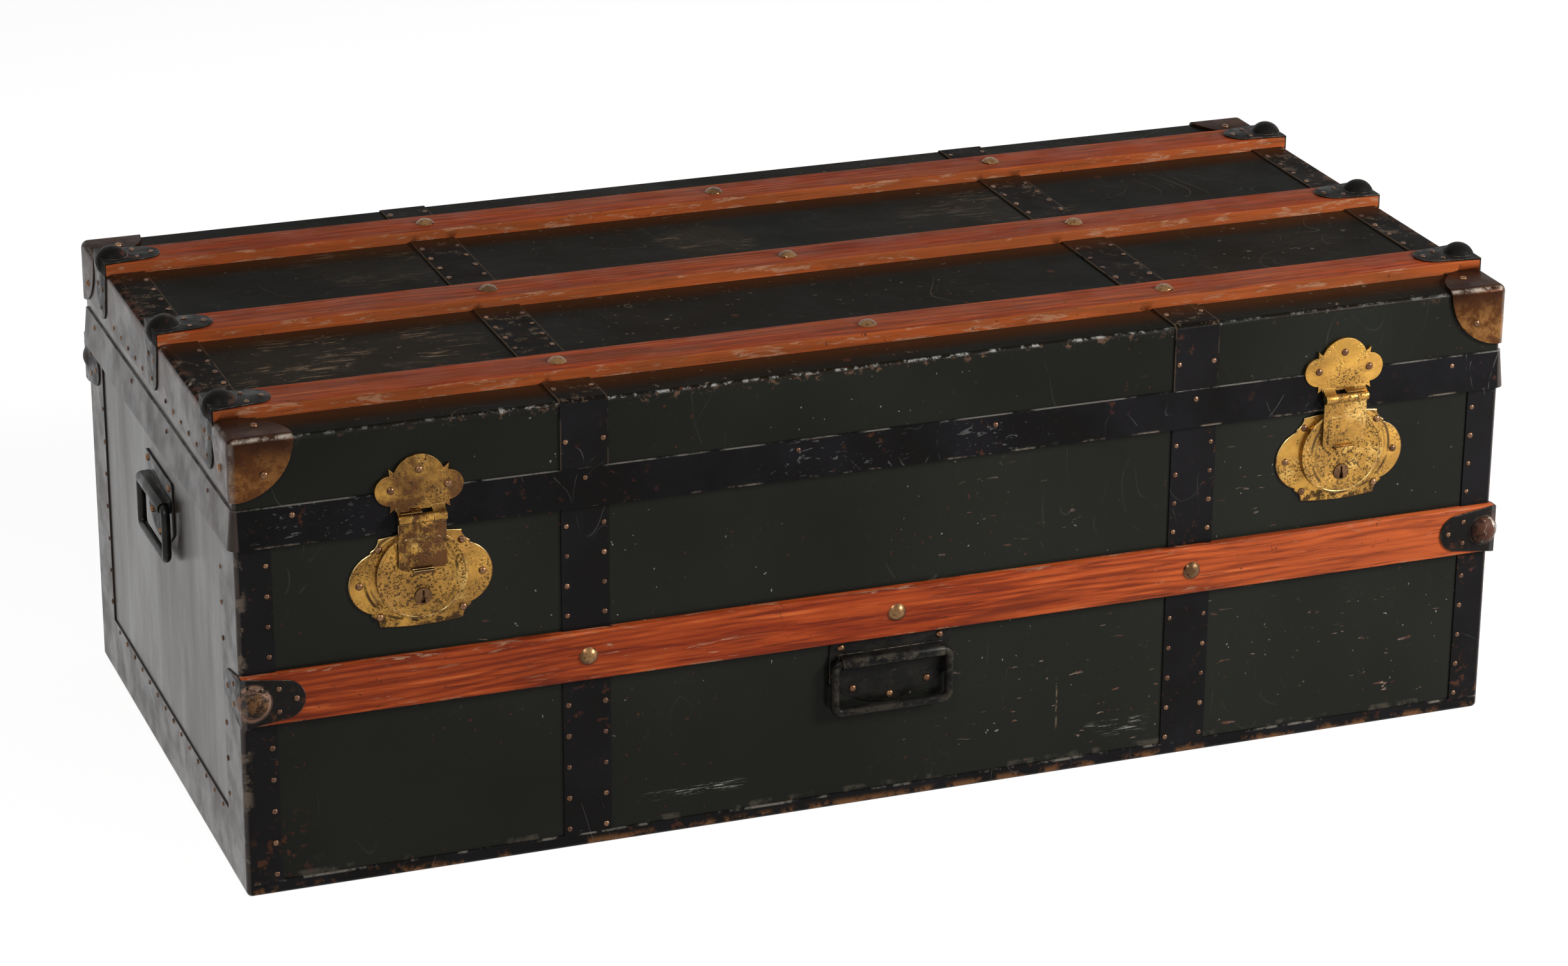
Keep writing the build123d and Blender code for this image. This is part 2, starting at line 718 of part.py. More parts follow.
def hinge_leaf(spans, low, high, plate_low, plate_high):
    y = (half_depth, half_depth + hinge_leaf_thickness)
    leaf = block((-hinge_half, y[0], plate_low), (hinge_half, y[1], plate_high))
    axis = Pos(0, hinge_axis_y, seam_height)
    for start, end in spans:
        leaf += block((start, y[0], low), (end, y[1], high))
        leaf += axis * rod(hinge_knuckle_radius, start, end, "X")
    leaf -= axis * rod(hinge_pin_radius + pin_clearance, -FAR, FAR, "X")
    return leaf


def make_hinges():
    spans = hinge_spans()
    low = seam_height - hinge_knuckle_radius - knuckle_clearance
    high = seam_height + hinge_knuckle_radius + knuckle_clearance
    body_leaf = hinge_leaf(spans[0::2], low, seam_height, hinge_leaf_low, low)
    lid_leaf = hinge_leaf(spans[1::2], seam_height, high, high, hinge_leaf_high)
    pin = Pos(0, hinge_axis_y, seam_height) * rod(hinge_pin_radius, -hinge_half, hinge_half, "X")
    places = [Pos(x, 0, 0) for x in hinge_places]
    return [[place * piece for place in places] for piece in (body_leaf, lid_leaf, pin)]


def make_stay(side):
    # The pivot and the stud are equally far from the lid's hinge axis, so the arm turns half as far
    # as the lid does, and the stud runs from one end of the slot to the other.
    start = 2 * stay_reach * sin(stay_lean)
    stop = 2 * stay_reach * sin(radians((stay_rest_angle + stay_open_angle) / 2))
    length = stop + stay_width / 2
    profile = Pos(0, -length / 2) * SlotCenterToCenter(length, stay_width, rotation=90)
    slot_width = 2 * (stay_stud_radius + stay_slot_clearance)
    slot = SlotCenterToCenter(stop - start, slot_width, rotation=90)
    profile -= Pos(0, -(start + stop) / 2) * slot
    profile -= Circle(stay_stud_radius + pin_clearance)
    place = Plane(origin=(stay_inner, stay_y, stay_pivot_z), x_dir=(0, 1, 0), z_dir=(1, 0, 0))
    arm = place.location * extrude(profile, stay_thickness)
    return arm if side > 0 else mirror(arm, Plane.YZ)


def stay_post(side, wall_x, z):
    # A flanged post on the lining, with a spacer up to the arm and a head beyond it.
    spacer_x = stay_outer + stay_side_play
    head_x = stay_inner - stay_side_play
    post = rod(stay_flange_radius, wall_x - stay_flange_thickness, wall_x, "X")
    post += rod(stay_head_radius, spacer_x, wall_x, "X")
    post += rod(stay_stud_radius, head_x, wall_x, "X")
    post += rod(stay_head_radius, head_x - stay_head_thickness, head_x, "X")
    post = Pos(0, stay_y, z) * post
    return post if side > 0 else mirror(post, Plane.YZ)


def make_linings():
    y = cavity_half_y
    t = lining_thickness
    x = body_cavity_half_x
    body = block((-x, -y, floor_top), (x, y, body_top))
    body -= block((-x + t, -y + t, floor_top + t), (x - t, y - t, FAR))
    x = lid_cavity_half_x
    lid = block((-x, -y, lid_low), (x, y, lid_ceiling))
    lid -= block((-x + t, -y + t, 0), (x - t, y - t, lid_ceiling - t))
    return body, lid


def spread(low, high, pitch):
    # Evenly spaced places from low to high, as near to the pitch as a whole number allows.
    steps = max(1, round((high - low) / pitch))
    return [low + k * (high - low) / steps for k in range(steps + 1)]


def cross_band_columns():
    edge = cross_band_width / 2 - tack_edge
    return [side * cross_band_place + step * edge for side in SIDES for step in SIDES]


def body_tack_planes():
    # Tacks run down both edges of each cross band and down each corner band, clear of the slat.
    slat_top = body_slat_height + body_slat_width / 2
    slat_bottom = body_slat_height - body_slat_width / 2
    first = base_band_height + tack_band_end
    last = valance_bottom - tack_below_valance
    rows = spread(slat_top + tack_above_slat, last, tack_pitch)
    rows += spread(first, slat_bottom - tack_below_slat, tack_pitch)
    corner = body_length / 2 - corner_band_front + tack_edge
    columns = cross_band_columns() + [-corner, corner]
    planes = [on_front(x, z) for x in columns for z in rows]
    rear_bottom = rear_slat_height - body_slat_width / 2
    rear_rows = spread(first, rear_bottom - tack_below_valance, tack_pitch)
    planes += [on_rear(x, z) for x in columns for z in rear_rows]
    return planes


def end_tack_planes(side):
    # On one end: down both corner bands and along the top of the deep plate at the foot.
    column = half_depth - corner_band_end + tack_edge
    first = base_band_end_height + tack_above_plate
    slat_top = body_slat_height + body_slat_width / 2
    front_leg = body_slat_height - clamp_leg_length
    rear_leg = rear_slat_height - clamp_leg_length
    front_rows = spread(slat_top + tack_above_slat, valance_bottom - 2 * tack_below_valance, tack_pitch)
    front_rows += spread(first, front_leg + tack_band_end, tack_pitch)
    back_rows = spread(first, rear_leg + tack_above_slat, tack_pitch)
    half_x = body_length / 2
    planes = [on_end(side, half_x, -column, z) for z in front_rows]
    planes += [on_end(side, half_x, column, z) for z in back_rows]
    reach = half_depth - corner_band_end - tack_beside_clamp
    plate_row = base_band_end_height - tack_edge
    return planes + [on_end(side, half_x, y, plate_row) for y in spread(-reach, reach, tack_pitch)]


def lid_tack_planes():
    # On the lid's bands, over its front, top, rear and ends.
    columns = cross_band_columns()
    slats = lid_slat_places()
    half = lid_slat_width / 2
    field = []
    for front, back in zip(slats, slats[1:]):
        low = front + half + tack_above_plate
        field += spread(low, back - half - tack_above_valance, tack_pitch)
    edges = [-half_depth + tack_below_slat + tack_band_end, half_depth - tack_beside_clamp]
    row = valance_top + tack_above_valance
    planes = [on_front(x, row) for x in columns]
    planes += [on_rear(x, z) for x in columns for z in (lid_low + 2 * tack_band_end, row)]
    planes += [on_top(x, y) for x in columns for y in field + edges]
    end_x = lid_length / 2 - lid_end_band_top + tack_edge
    planes += [on_top(side * end_x, y) for side in SIDES for y in field]
    end_row = lid_top - lid_end_band_drop + tack_band_end
    clear = half + tack_beside_clamp
    for front, back in zip(slats, slats[1:]):
        places = spread(front + clear, back - clear, tack_pitch)
        planes += [on_end(side, lid_length / 2, y, end_row) for side in SIDES for y in places]
    return planes


def valance_tacks():
    # The heads lie flat on the valance's leaning face.
    row = valance_top - valance_tack_drop
    columns = (valance_tack_middle, cross_band_place, lid_length / 2 - valance_tack_inset)
    planes = [on_front(side * x, row) for x in columns for side in SIDES]
    planes += [on_end(side, lid_length / 2, y, row) for side in SIDES for y in valance_tack_end]
    face = valance_thickness + valance_tack_drop * valance_slope
    lean = Pos(0, 0, face) * Rot(-degrees(atan(valance_slope)), 0, 0)
    return [plane.location * lean * dome(tack_head) for plane in planes]


def cap_rivet_planes():
    in_x = lid_length / 2 - cap_rivet_in
    in_y = half_depth - cap_rivet_in
    row = lid_top - cap_rivet_drop
    planes = []
    for side in SIDES:
        planes += [on_front(side * in_x, row), on_rear(side * in_x, row)]
        planes += [on_end(side, lid_length / 2, face * in_y, row) for face in SIDES]
        planes += [on_top(side * in_x, face * in_y) for face in SIDES]
    return planes


def heads(planes, head, distance):
    return [plane.offset(distance).location * head for plane in planes]


# Body: boards, sheathing, bands, slats and their fastenings.
body_boards()
body_sheets()
cross_bands = make_body_cross_bands()
corner_bands = make_corner_bands()
base_bands = make_base_bands()
save("body_cross_bands", *cross_bands)
save("body_corner_bands", *corner_bands)
save("body_bottom_bands", *base_bands)

body_leaves, lid_leaves, hinge_pins = make_hinges()
save("hinge_body_leaves", *body_leaves)
save("hinge_lid_leaves", *lid_leaves)
save("hinge_pins", *hinge_pins)

slat_half = body_length / 2 + band_thickness
slat_size = (slat_half, body_slat_width, body_slat_thickness)
front_slat = slat_along(on_front(0, body_slat_height), slat_size)
rear_slat = slat_along(on_rear(0, rear_slat_height), slat_size)
for band in cross_bands + corner_bands:
    front_slat -= band
    rear_slat -= band
for leaf in body_leaves:
    rear_slat -= leaf
save("body_front_slat", front_slat)
save("body_rear_slat", rear_slat)

body_clamp = clamp(body_slat_thickness, body_slat_width)
save("body_slat_clamps", *[plane.location * body_clamp for plane in clamp_planes_body()])
slat_head = slat_rivet(body_slat_thickness)
front_rivets = [on_front(x, body_slat_height).location * slat_head for x in slat_rivet_places]
rear_rivets = [on_rear(x, rear_slat_height).location * slat_head for x in slat_rivet_places]
save("body_slat_rivets", *front_rivets, *rear_rivets)

tack_planes = body_tack_planes() + end_tack_planes(-1) + end_tack_planes(1)
tacks = heads(tack_planes, dome(tack_head), band_thickness)
for plane in clamp_planes_body():
    tacks += clamp_nails(plane, body_slat_thickness)
save("body_tacks", *tacks)

# Locks on the body, hasps on the lid.
lock_planes = [on_front(side * lock_place, lock_height) for side in SIDES]
save("lock_plates", *[plane.location * lock_plate() for plane in lock_planes])
save("lock_covers", *[plane.location * lock_cover() for plane in lock_planes])
for name, plane in zip(("left", "right"), lock_planes):
    save(f"lock_bolt_{name}", plane.location * lock_bolt())
    save(f"key_plug_{name}", plane.location * key_plug())

# Handles.
front_plane = on_front(front_handle_shift, front_handle_height)
end_planes = [on_end(side, body_length / 2, end_handle_shift, end_handle_height) for side in SIDES]
handles = {
    "front": (front_plane, front_bail_width, front_plate_top),
    "left": (end_planes[0], end_bail_width, end_plate_top),
    "right": (end_planes[1], end_bail_width, end_plate_top),
}
rivet = dome(rivet_head)
body_rivets = []
for name, (plane, width, plate_top) in handles.items():
    save(f"{name}_handle_plate", plane.location * handle_plate(width, plate_top))
    save(f"{name}_handle_bail", plane.location * bail(width))
    body_rivets += [plane.location * head for head in handle_rivets(width, plate_top)]
for plane in lock_planes:
    for side in SIDES:
        for x, y in lock_rivet_places:
            body_rivets.append(plane.location * Pos(side * x, y, lock_plate_thickness) * rivet)
save("body_rivets", *body_rivets)

# Lid: boards, sheathing, bands, valance, caps, slats and their fastenings.
rim_top = lid_ceiling
front_rim = block((-FAR, -FAR, 0), (FAR, -cavity_half_y, rim_top))
left_rim = block((-FAR, -cavity_half_y, 0), (-lid_cavity_half_x, cavity_half_y, rim_top))
save("lid_top_board", lid_wood & block((-FAR, -FAR, rim_top), (FAR, FAR, FAR)))
save("lid_front_rim", lid_wood & front_rim)
save("lid_rear_rim", lid_wood & mirror(front_rim, Plane.XZ))
save("lid_left_rim", lid_wood & left_rim)
save("lid_right_rim", lid_wood & mirror(left_rim, Plane.YZ))

fold = lid_top - lid_edge_radius
flat_y = half_depth - lid_edge_radius
front_skirt = block((-FAR, -FAR, 0), (FAR, -flat_y, fold))
left_skirt = block((-FAR, -flat_y, 0), (-lid_cavity_half_x, flat_y, fold))
skirts = [front_skirt, mirror(front_skirt, Plane.XZ), left_skirt, mirror(left_skirt, Plane.YZ)]
save("lid_top_sheet", lid_sheet_layer & block((-FAR, -FAR, fold), (FAR, FAR, FAR)))
save("lid_rim_sheets", *[lid_sheet_layer & skirt for skirt in skirts])

lid_cross_bands = make_lid_cross_bands()
lid_end_bands = make_lid_end_bands()
lid_clamp = clamp(lid_slat_thickness, lid_slat_width)
lid_clamps = [plane.location * lid_clamp for plane in clamp_planes_lid()]
caps = make_caps(lid_end_bands)
for piece in lid_clamps:
    caps = [cap - piece for cap in caps]
valance = make_valance()
save("lid_cross_bands", *lid_cross_bands)
save("lid_end_bands", *lid_end_bands)
save("lid_corner_caps", *caps)
save("lid_valance", *valance)

lid_slats = []
slat_size = (lid_length / 2 + band_thickness, lid_slat_width, lid_slat_thickness)
for y in lid_slat_places():
    slat = slat_along(on_top(0, y), slat_size)
    for piece in lid_cross_bands + lid_end_bands + caps:
        slat -= piece
    lid_slats.append(slat)
save("lid_slats", *lid_slats)
save("lid_slat_clamps", *lid_clamps)
slat_head = slat_rivet(lid_slat_thickness)
places = [on_top(x, y) for x in slat_rivet_places for y in lid_slat_places()]
save("lid_slat_rivets", *heads(places, slat_head, 0))

tacks = heads(lid_tack_planes(), dome(tack_head), band_thickness)
tacks += valance_tacks()
for plane in clamp_planes_lid():
    tacks += clamp_nails(plane, lid_slat_thickness)
save("lid_tacks", *tacks)

# Hasps and the rivets of the lid's brasswork.
hasp_planes = {side: on_front(side * lock_place, hasp_axis_height) for side in SIDES}
plates = []
for side in SIDES:
    plate = hasp_planes[side].location * hasp_plate()
    for piece in valance:
        plate -= piece
    plates.append(plate)
save("hasp_plates", *plates)
pin = Pos(0, 0, hasp_axis_out) * rod(hasp_pin_radius, -hasp_half, hasp_half, "X")
save("hasp_pins", *[plane.location * pin for plane in hasp_planes.values()])
for name, side in (("left", -1), ("right", 1)):
    save(f"hasp_{name}", hasp_planes[side].location * hasp_leaf())

lid_rivets = heads(cap_rivet_planes(), dome(rivet_head), band_thickness + cap_thickness)
for side in SIDES:
    for x, z in hasp_rivet_places:
        lid_rivets.append(hasp_planes[side].location * Pos(x, z, hasp_plate_thickness) * rivet)
save("lid_rivets", *lid_rivets)

# Stays and linings.
for name, side in (("left", -1), ("right", 1)):
    save(f"stay_arm_{name}", make_stay(side))
body_wall = body_cavity_half_x - lining_thickness
lid_wall = lid_cavity_half_x - lining_thickness
save("stay_studs", *[stay_post(side, body_wall, stay_stud_z) for side in SIDES])
save("stay_pivots", *[stay_post(side, lid_wall, stay_pivot_z) for side in SIDES])
body_lining, lid_lining = make_linings()
save("body_lining", body_lining)
save("lid_lining", lid_lining)
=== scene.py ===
import json
from math import cos as cosine, radians, sin as sine

import bmesh
import bpy
import numpy as np
from mathutils import Matrix, Vector, noise

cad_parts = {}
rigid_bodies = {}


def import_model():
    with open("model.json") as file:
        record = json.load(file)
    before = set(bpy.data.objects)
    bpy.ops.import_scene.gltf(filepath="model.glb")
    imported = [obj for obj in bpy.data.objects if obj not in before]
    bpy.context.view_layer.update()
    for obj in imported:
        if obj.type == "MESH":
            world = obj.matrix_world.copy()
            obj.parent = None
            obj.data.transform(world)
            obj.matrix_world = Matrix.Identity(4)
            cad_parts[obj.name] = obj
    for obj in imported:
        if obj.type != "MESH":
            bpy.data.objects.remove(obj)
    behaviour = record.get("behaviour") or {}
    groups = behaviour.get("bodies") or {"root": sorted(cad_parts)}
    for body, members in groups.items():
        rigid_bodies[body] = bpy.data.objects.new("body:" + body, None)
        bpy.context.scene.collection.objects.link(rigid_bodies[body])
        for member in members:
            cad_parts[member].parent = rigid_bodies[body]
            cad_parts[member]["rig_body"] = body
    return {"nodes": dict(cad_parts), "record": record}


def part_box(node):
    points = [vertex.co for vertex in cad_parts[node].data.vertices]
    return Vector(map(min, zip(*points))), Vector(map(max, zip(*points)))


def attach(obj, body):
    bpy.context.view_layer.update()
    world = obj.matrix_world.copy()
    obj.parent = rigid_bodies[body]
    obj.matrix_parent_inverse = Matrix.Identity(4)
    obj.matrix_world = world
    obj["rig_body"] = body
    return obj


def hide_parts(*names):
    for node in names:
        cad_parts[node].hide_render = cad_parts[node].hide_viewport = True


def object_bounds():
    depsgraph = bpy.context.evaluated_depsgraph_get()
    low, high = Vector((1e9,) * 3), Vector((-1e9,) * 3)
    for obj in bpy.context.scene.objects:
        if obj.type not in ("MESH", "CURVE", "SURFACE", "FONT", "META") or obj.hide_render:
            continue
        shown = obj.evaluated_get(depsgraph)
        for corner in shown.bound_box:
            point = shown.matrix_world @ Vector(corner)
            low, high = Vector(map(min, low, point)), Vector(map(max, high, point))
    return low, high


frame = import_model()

cadLow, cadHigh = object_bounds()
scene = bpy.context.scene
nodes = frame["nodes"]
middle = (cadLow + cadHigh) / 2
slots = {part["node"]: part["material_slot"] for part in frame["record"]["subparts"]}


# places on the trunk, in metres
lidLow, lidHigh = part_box("lid_rim_sheets")
lidHigh.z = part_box("lid_top_sheet")[1].z
bodyLow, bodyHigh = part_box("body_front_sheet")
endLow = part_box("body_end_sheets")[0]
valanceLow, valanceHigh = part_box("lid_valance")
slatLow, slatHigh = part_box("body_front_slat")
frontSlatZ = (slatLow.z + slatHigh.z) / 2
rearSlatLow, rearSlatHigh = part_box("body_rear_slat")
rearSlatZ = (rearSlatLow.z + rearSlatHigh.z) / 2
lockLow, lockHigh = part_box("lock_covers")
lockX = (lockHigh.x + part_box("hasp_right")[0].x) / 2
front = bodyLow.y
lockZ = (lockLow.z + lockHigh.z) / 2
lockRadius = (lockHigh.z - lockLow.z) / 2
lidSlatLow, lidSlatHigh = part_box("lid_slats")
lidSlat = {"half": 0.019, "middle": (lidSlatLow.y + lidSlatHigh.y) / 2}
lidSlat["pitch"] = (lidSlatHigh.y - lidSlatLow.y) / 2 - lidSlat["half"]
bandHalf = 0.01825  # half the width of a band across the trunk
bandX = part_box("lid_cross_bands")[1].x - bandHalf
endBandWidth = 0.029

# how far inside the trunk's box the ends and the top begin, and where they are complete
sides = {
    "endFrom": 0.0022,
    "endTo": 0.0006,
    "topFrom": 0.0016,
    "topTo": 0.0004,
}

camera = {
    "place": (-1.1924, -3.1686, 1.4995),
    "roll": 0.37,
    "tilt": 111.44,
    "turn": 20.62,
    "focal": 105.835,
    "sensor": 36.0,
}


def makeCamera(values):
    data = bpy.data.cameras.new("camera")
    data.sensor_width = values["sensor"]
    data.lens = values["focal"]
    view = Matrix.Rotation(radians(values["roll"]), 3, "Z")
    view = view @ Matrix.Rotation(radians(values["tilt"]), 3, "X")
    view = view @ Matrix.Rotation(radians(values["turn"]), 3, "Z")
    flip = Matrix.Diagonal((1, -1, -1))  # a camera looks down its own -Z
    item = bpy.data.objects.new("camera", data)
    item.matrix_world = Matrix.Translation(values["place"]) @ (view.transposed() @ flip).to_4x4()
    scene.collection.objects.link(item)
    scene.camera = item


makeCamera(camera)
print("camera set")


def feed(tree, socket, value):
    if isinstance(value, bpy.types.NodeSocket):
        tree.links.new(value, socket)
    else:
        socket.default_value = value


def addNode(tree, kind, inputs=None, **settings):
    node = tree.nodes.new(kind)
    for key, value in settings.items():
        setattr(node, key, value)
    for key, value in (inputs or {}).items():
        feed(tree, node.inputs[key], value)
    return node


class Finish:
    # one material, with short calls for the nodes it is made of
    def __init__(self, name, **sockets):
        self.material = bpy.data.materials.new(name)
        self.material.use_nodes = True
        self.tree = self.material.node_tree
        self.surface = self.tree.nodes["Principled BSDF"]
        for socket, value in sockets.items():
            self.surface.inputs[socket.replace("_", " ")].default_value = value
        self.place = self.add("ShaderNodeTexCoord").outputs["Object"]
        axes = self.add("ShaderNodeSeparateXYZ", {0: self.place})
        self.x, self.y, self.z = axes.outputs

    def add(self, kind, inputs=None, **settings):
        return addNode(self.tree, kind, inputs, **settings)

    def math(self, operation, a, b=0.0, c=0.0):
        return self.add("ShaderNodeMath", {0: a, 1: b, 2: c}, operation=operation).outputs[0]

    def times(self, *values):
        result = values[0]
        for value in values[1:]:
            result = self.math("MULTIPLY", result, value)
        return result

    def size(self, value):
        return self.math("ABSOLUTE", value)

    def apart(self, a, b):
        return self.size(self.math("SUBTRACT", a, b))

    def away(self, a, b):
        return self.math("SQRT", self.math("ADD", self.times(a, a), self.times(b, b)))

    def most(self, *values):
        result = values[0]
        for value in values[1:]:
            result = self.math("MAXIMUM", result, value)
        return result

    def stretched(self, scale, turn=(0, 0, 0), shift=(0, 0, 0)):
        inputs = {"Vector": self.place, "Scale": scale, "Rotation": turn, "Location": shift}
        return self.add("ShaderNodeMapping", inputs).outputs[0]

    def noise(self, scale, detail=3.0, rough=0.55, warp=0.0, vector=None):
        inputs = {"Vector": vector or self.place, "Scale": scale, "Detail": detail}
        inputs.update({"Roughness": rough, "Distortion": warp})
        return self.add("ShaderNodeTexNoise", inputs).outputs[0]

    def streaks(self, scale, detail, rough, warp=0.0, turn=(0, 0, 0), shift=(0, 0, 0)):
        # noise with its own scale along each axis
        return self.noise(1.0, detail, rough, warp, self.stretched(scale, turn, shift))

    def cells(self, scale):
        return self.add("ShaderNodeTexVoronoi", {"Vector": self.place, "Scale": scale}).outputs[0]

    def step(self, value, low, high):
        inputs = {"Value": value, "From Min": low, "From Max": high}
        return self.add("ShaderNodeMapRange", inputs, interpolation_type="SMOOTHSTEP").outputs[0]

    def span(self, value, low, high, soft):
        # 1 between low and high, 0 outside, with soft sides
        rise = self.step(value, low - soft, low + soft)
        fall = self.step(value, high + soft, high - soft)
        return self.times(rise, fall)

    def spot(self, place, radius, soft=0.5):
        # 1 inside a ball about a place, fading to 0 at its radius
        inputs = {0: self.place, 1: place}
        away = self.add("ShaderNodeVectorMath", inputs, operation="DISTANCE").outputs["Value"]
        return self.step(away, radius, radius * (1 - soft))

    def edge(self, first, firstAt, second, secondAt, radius):
        # 1 along a straight edge of the box, fading to 0 at a radius
        a = self.math("SUBTRACT", first, firstAt)
        b = self.math("SUBTRACT", second, secondAt)
        return self.step(self.away(a, b), radius, 0.0)

    def ring(self, x, z, radius, width):
        # 1 on a circle about a place on the front and its mirror place
        a = self.math("SUBTRACT", self.size(self.x), x)
        b = self.math("SUBTRACT", self.z, z)
        return self.step(self.apart(self.away(a, b), radius), width, width * 0.3)

    def facing(self, front, end, top):
        # a value for the front and rear, another for both ends and a third for the top
        onEnd = self.step(self.size(self.x), bodyHigh.x - sides["endFrom"], bodyHigh.x - sides["endTo"])
        onTop = self.step(self.z, lidHigh.z - sides["topFrom"], lidHigh.z - sides["topTo"])
        return self.between(onTop, self.between(onEnd, front, end), top)

    def besideSlat(self):
        # distance to the back of the nearest lid slat's middle
        reach = lidSlat["pitch"] / 2
        return self.math("WRAP", self.math("SUBTRACT", self.y, lidSlat["middle"]), reach, -reach)

    def blend(self, factor, a, b):
        node = self.add("ShaderNodeMix", data_type="RGBA", clamp_factor=True)
        feed(self.tree, node.inputs[0], factor)
        for socket, value in ((node.inputs[6], a), (node.inputs[7], b)):
            feed(self.tree, socket, value if isinstance(value, bpy.types.NodeSocket) else (*value, 1.0))
        return node.outputs[2]

    def between(self, factor, a, b):
        return self.add("ShaderNodeMapRange", {"Value": factor, "To Min": a, "To Max": b}).outputs[0]

    def bump(self, height, distance, strength=1.0, normal=None):
        inputs = {"Height": height, "Distance": distance, "Strength": strength}
        if normal is not None:
            inputs["Normal"] = normal
        return self.add("ShaderNodeBump", inputs).outputs[0]

    def finish(self, colour=None, roughness=None, metallic=None, normal=None, gloss=None):
        pairs = {"Base Color": colour, "Roughness": roughness, "Metallic": metallic, "Normal": normal}
        pairs["Specular IOR Level"] = gloss
        for socket, value in pairs.items():
            if value is not None:
                feed(self.tree, self.surface.inputs[socket], value)
        return self.material


sheet = {
    "green": (0.0100, 0.0112, 0.0086),
    "deep": (0.0062, 0.0066, 0.0052),
    "warm": (0.0082, 0.0058, 0.0034),
    "paintedEndSheen": (0.0240, 0.0170, 0.0125),
    "rust": (0.070, 0.022, 0.011),
    "bare": (0.26, 0.25, 0.22),
    # painted reflection of the slats, laid on the sheet beside them
    "glow": (0.055, 0.020, 0.008),
    "gash": (0.20, 0.14, 0.09),
    "chip": (0.120, 0.045, 0.030),
    "paleChip": (0.210, 0.150, 0.120),
    "footRub": (0.12, 0.10, 0.075),
    # bare tin of the lid's front fold, also standing for its painted highlight
    "fold": (0.34, 0.33, 0.31),
    "foldChip": (0.10, 0.055, 0.035),
    # painted highlight of a dent
    "dentHighlight": (0.30, 0.29, 0.27),
    "redSpot": (0.075, 0.020, 0.012),
    "rubbed": (0.030, 0.022, 0.014),
    "flake": (0.150, 0.100, 0.062),
    "nick": (0.16, 0.12, 0.085),
    "arc": (0.17, 0.13, 0.09),
    "stain": (0.045, 0.024, 0.014),
    "run": (0.040, 0.030, 0.024),
}


def scratchLines(f, scale, where, shift=0.0):
    # thin curved scratches, kept to patches
    field = f.noise(scale, 0.5, 0.3, 0.1, f.stretched((1, 1, 0.45), (0.3, 0.5, 0.2), (shift, 0, 0)))
    line = f.step(f.apart(field, 0.5), 0.0040, 0.0010)
    return f.times(line, where, f.step(f.noise(scale * 2.0, 2.0), 0.46, 0.56))


def sheetFinish(name, gloss, tint="green", marks=None, dents=1.0, spotty=0.6):
    f = Finish(name, Specular_Tint=(1.0, 0.93, 0.89, 1.0))
    cloud = f.noise(5.0, 3.0, 0.5)
    colour = f.blend(f.step(cloud, 0.30, 0.70), sheet["deep"], sheet[tint])
    # painted sheen: both ends are painted a lighter drab brown than the front and the top
    colour = f.blend(f.facing(0.0, 1.0, 0.0), colour, sheet["paintedEndSheen"])
    patches = f.step(f.noise(9.0, 2.0), 0.52, 0.68)
    scratches = f.most(scratchLines(f, 17.0, patches), scratchLines(f, 26.0, patches, 3.0))
    colour = f.blend(f.times(scratches, 0.07), colour, sheet["bare"])
    # rust spots and pale nicks of a millimetre or two
    crowd = f.step(f.noise(14.0, 2.0), 0.50, 0.64)
    spots = f.times(f.step(f.noise(230.0, 2.0, 0.5), 0.68, 0.72), crowd)
    colour = f.blend(f.times(spots, spotty), colour, sheet["rust"])
    nicks = f.times(f.step(f.noise(250.0, 1.0, 0.5), 0.775, 0.80), f.step(f.noise(6.0, 2.0), 0.48, 0.60))
    colour = f.blend(f.times(nicks, 0.6), colour, sheet["bare"])
    if marks:
        colour = marks(f, colour)
    streaks = f.streaks((20, 20, 3.5), 4.0, 0.6, 0.2)
    rough = f.between(f.step(streaks, 0.3, 0.7), 0.20, 0.34)
    normal = f.bump(f.noise(6.0, 2.0, 0.4), 0.010 * dents, 0.5)
    normal = f.bump(f.noise(60.0, 2.0, 0.5), 0.0006 * dents, 0.4, normal)
    shine = f.facing(*gloss) if isinstance(gloss, tuple) else gloss
    return f.finish(colour, rough, None, normal, shine)


# each mark's place across and up the front, then half its length and half its height
frontMarks = {
    "scrapes": (
        ((-0.158, 0.032), 0.036, 0.0030),
        ((0.186, 0.033), 0.022, 0.0040),
        ((0.192, 0.027), 0.014, 0.0028),
    ),
    "gashes": (((0.135, 0.058), 0.0005, 0.019),),
}


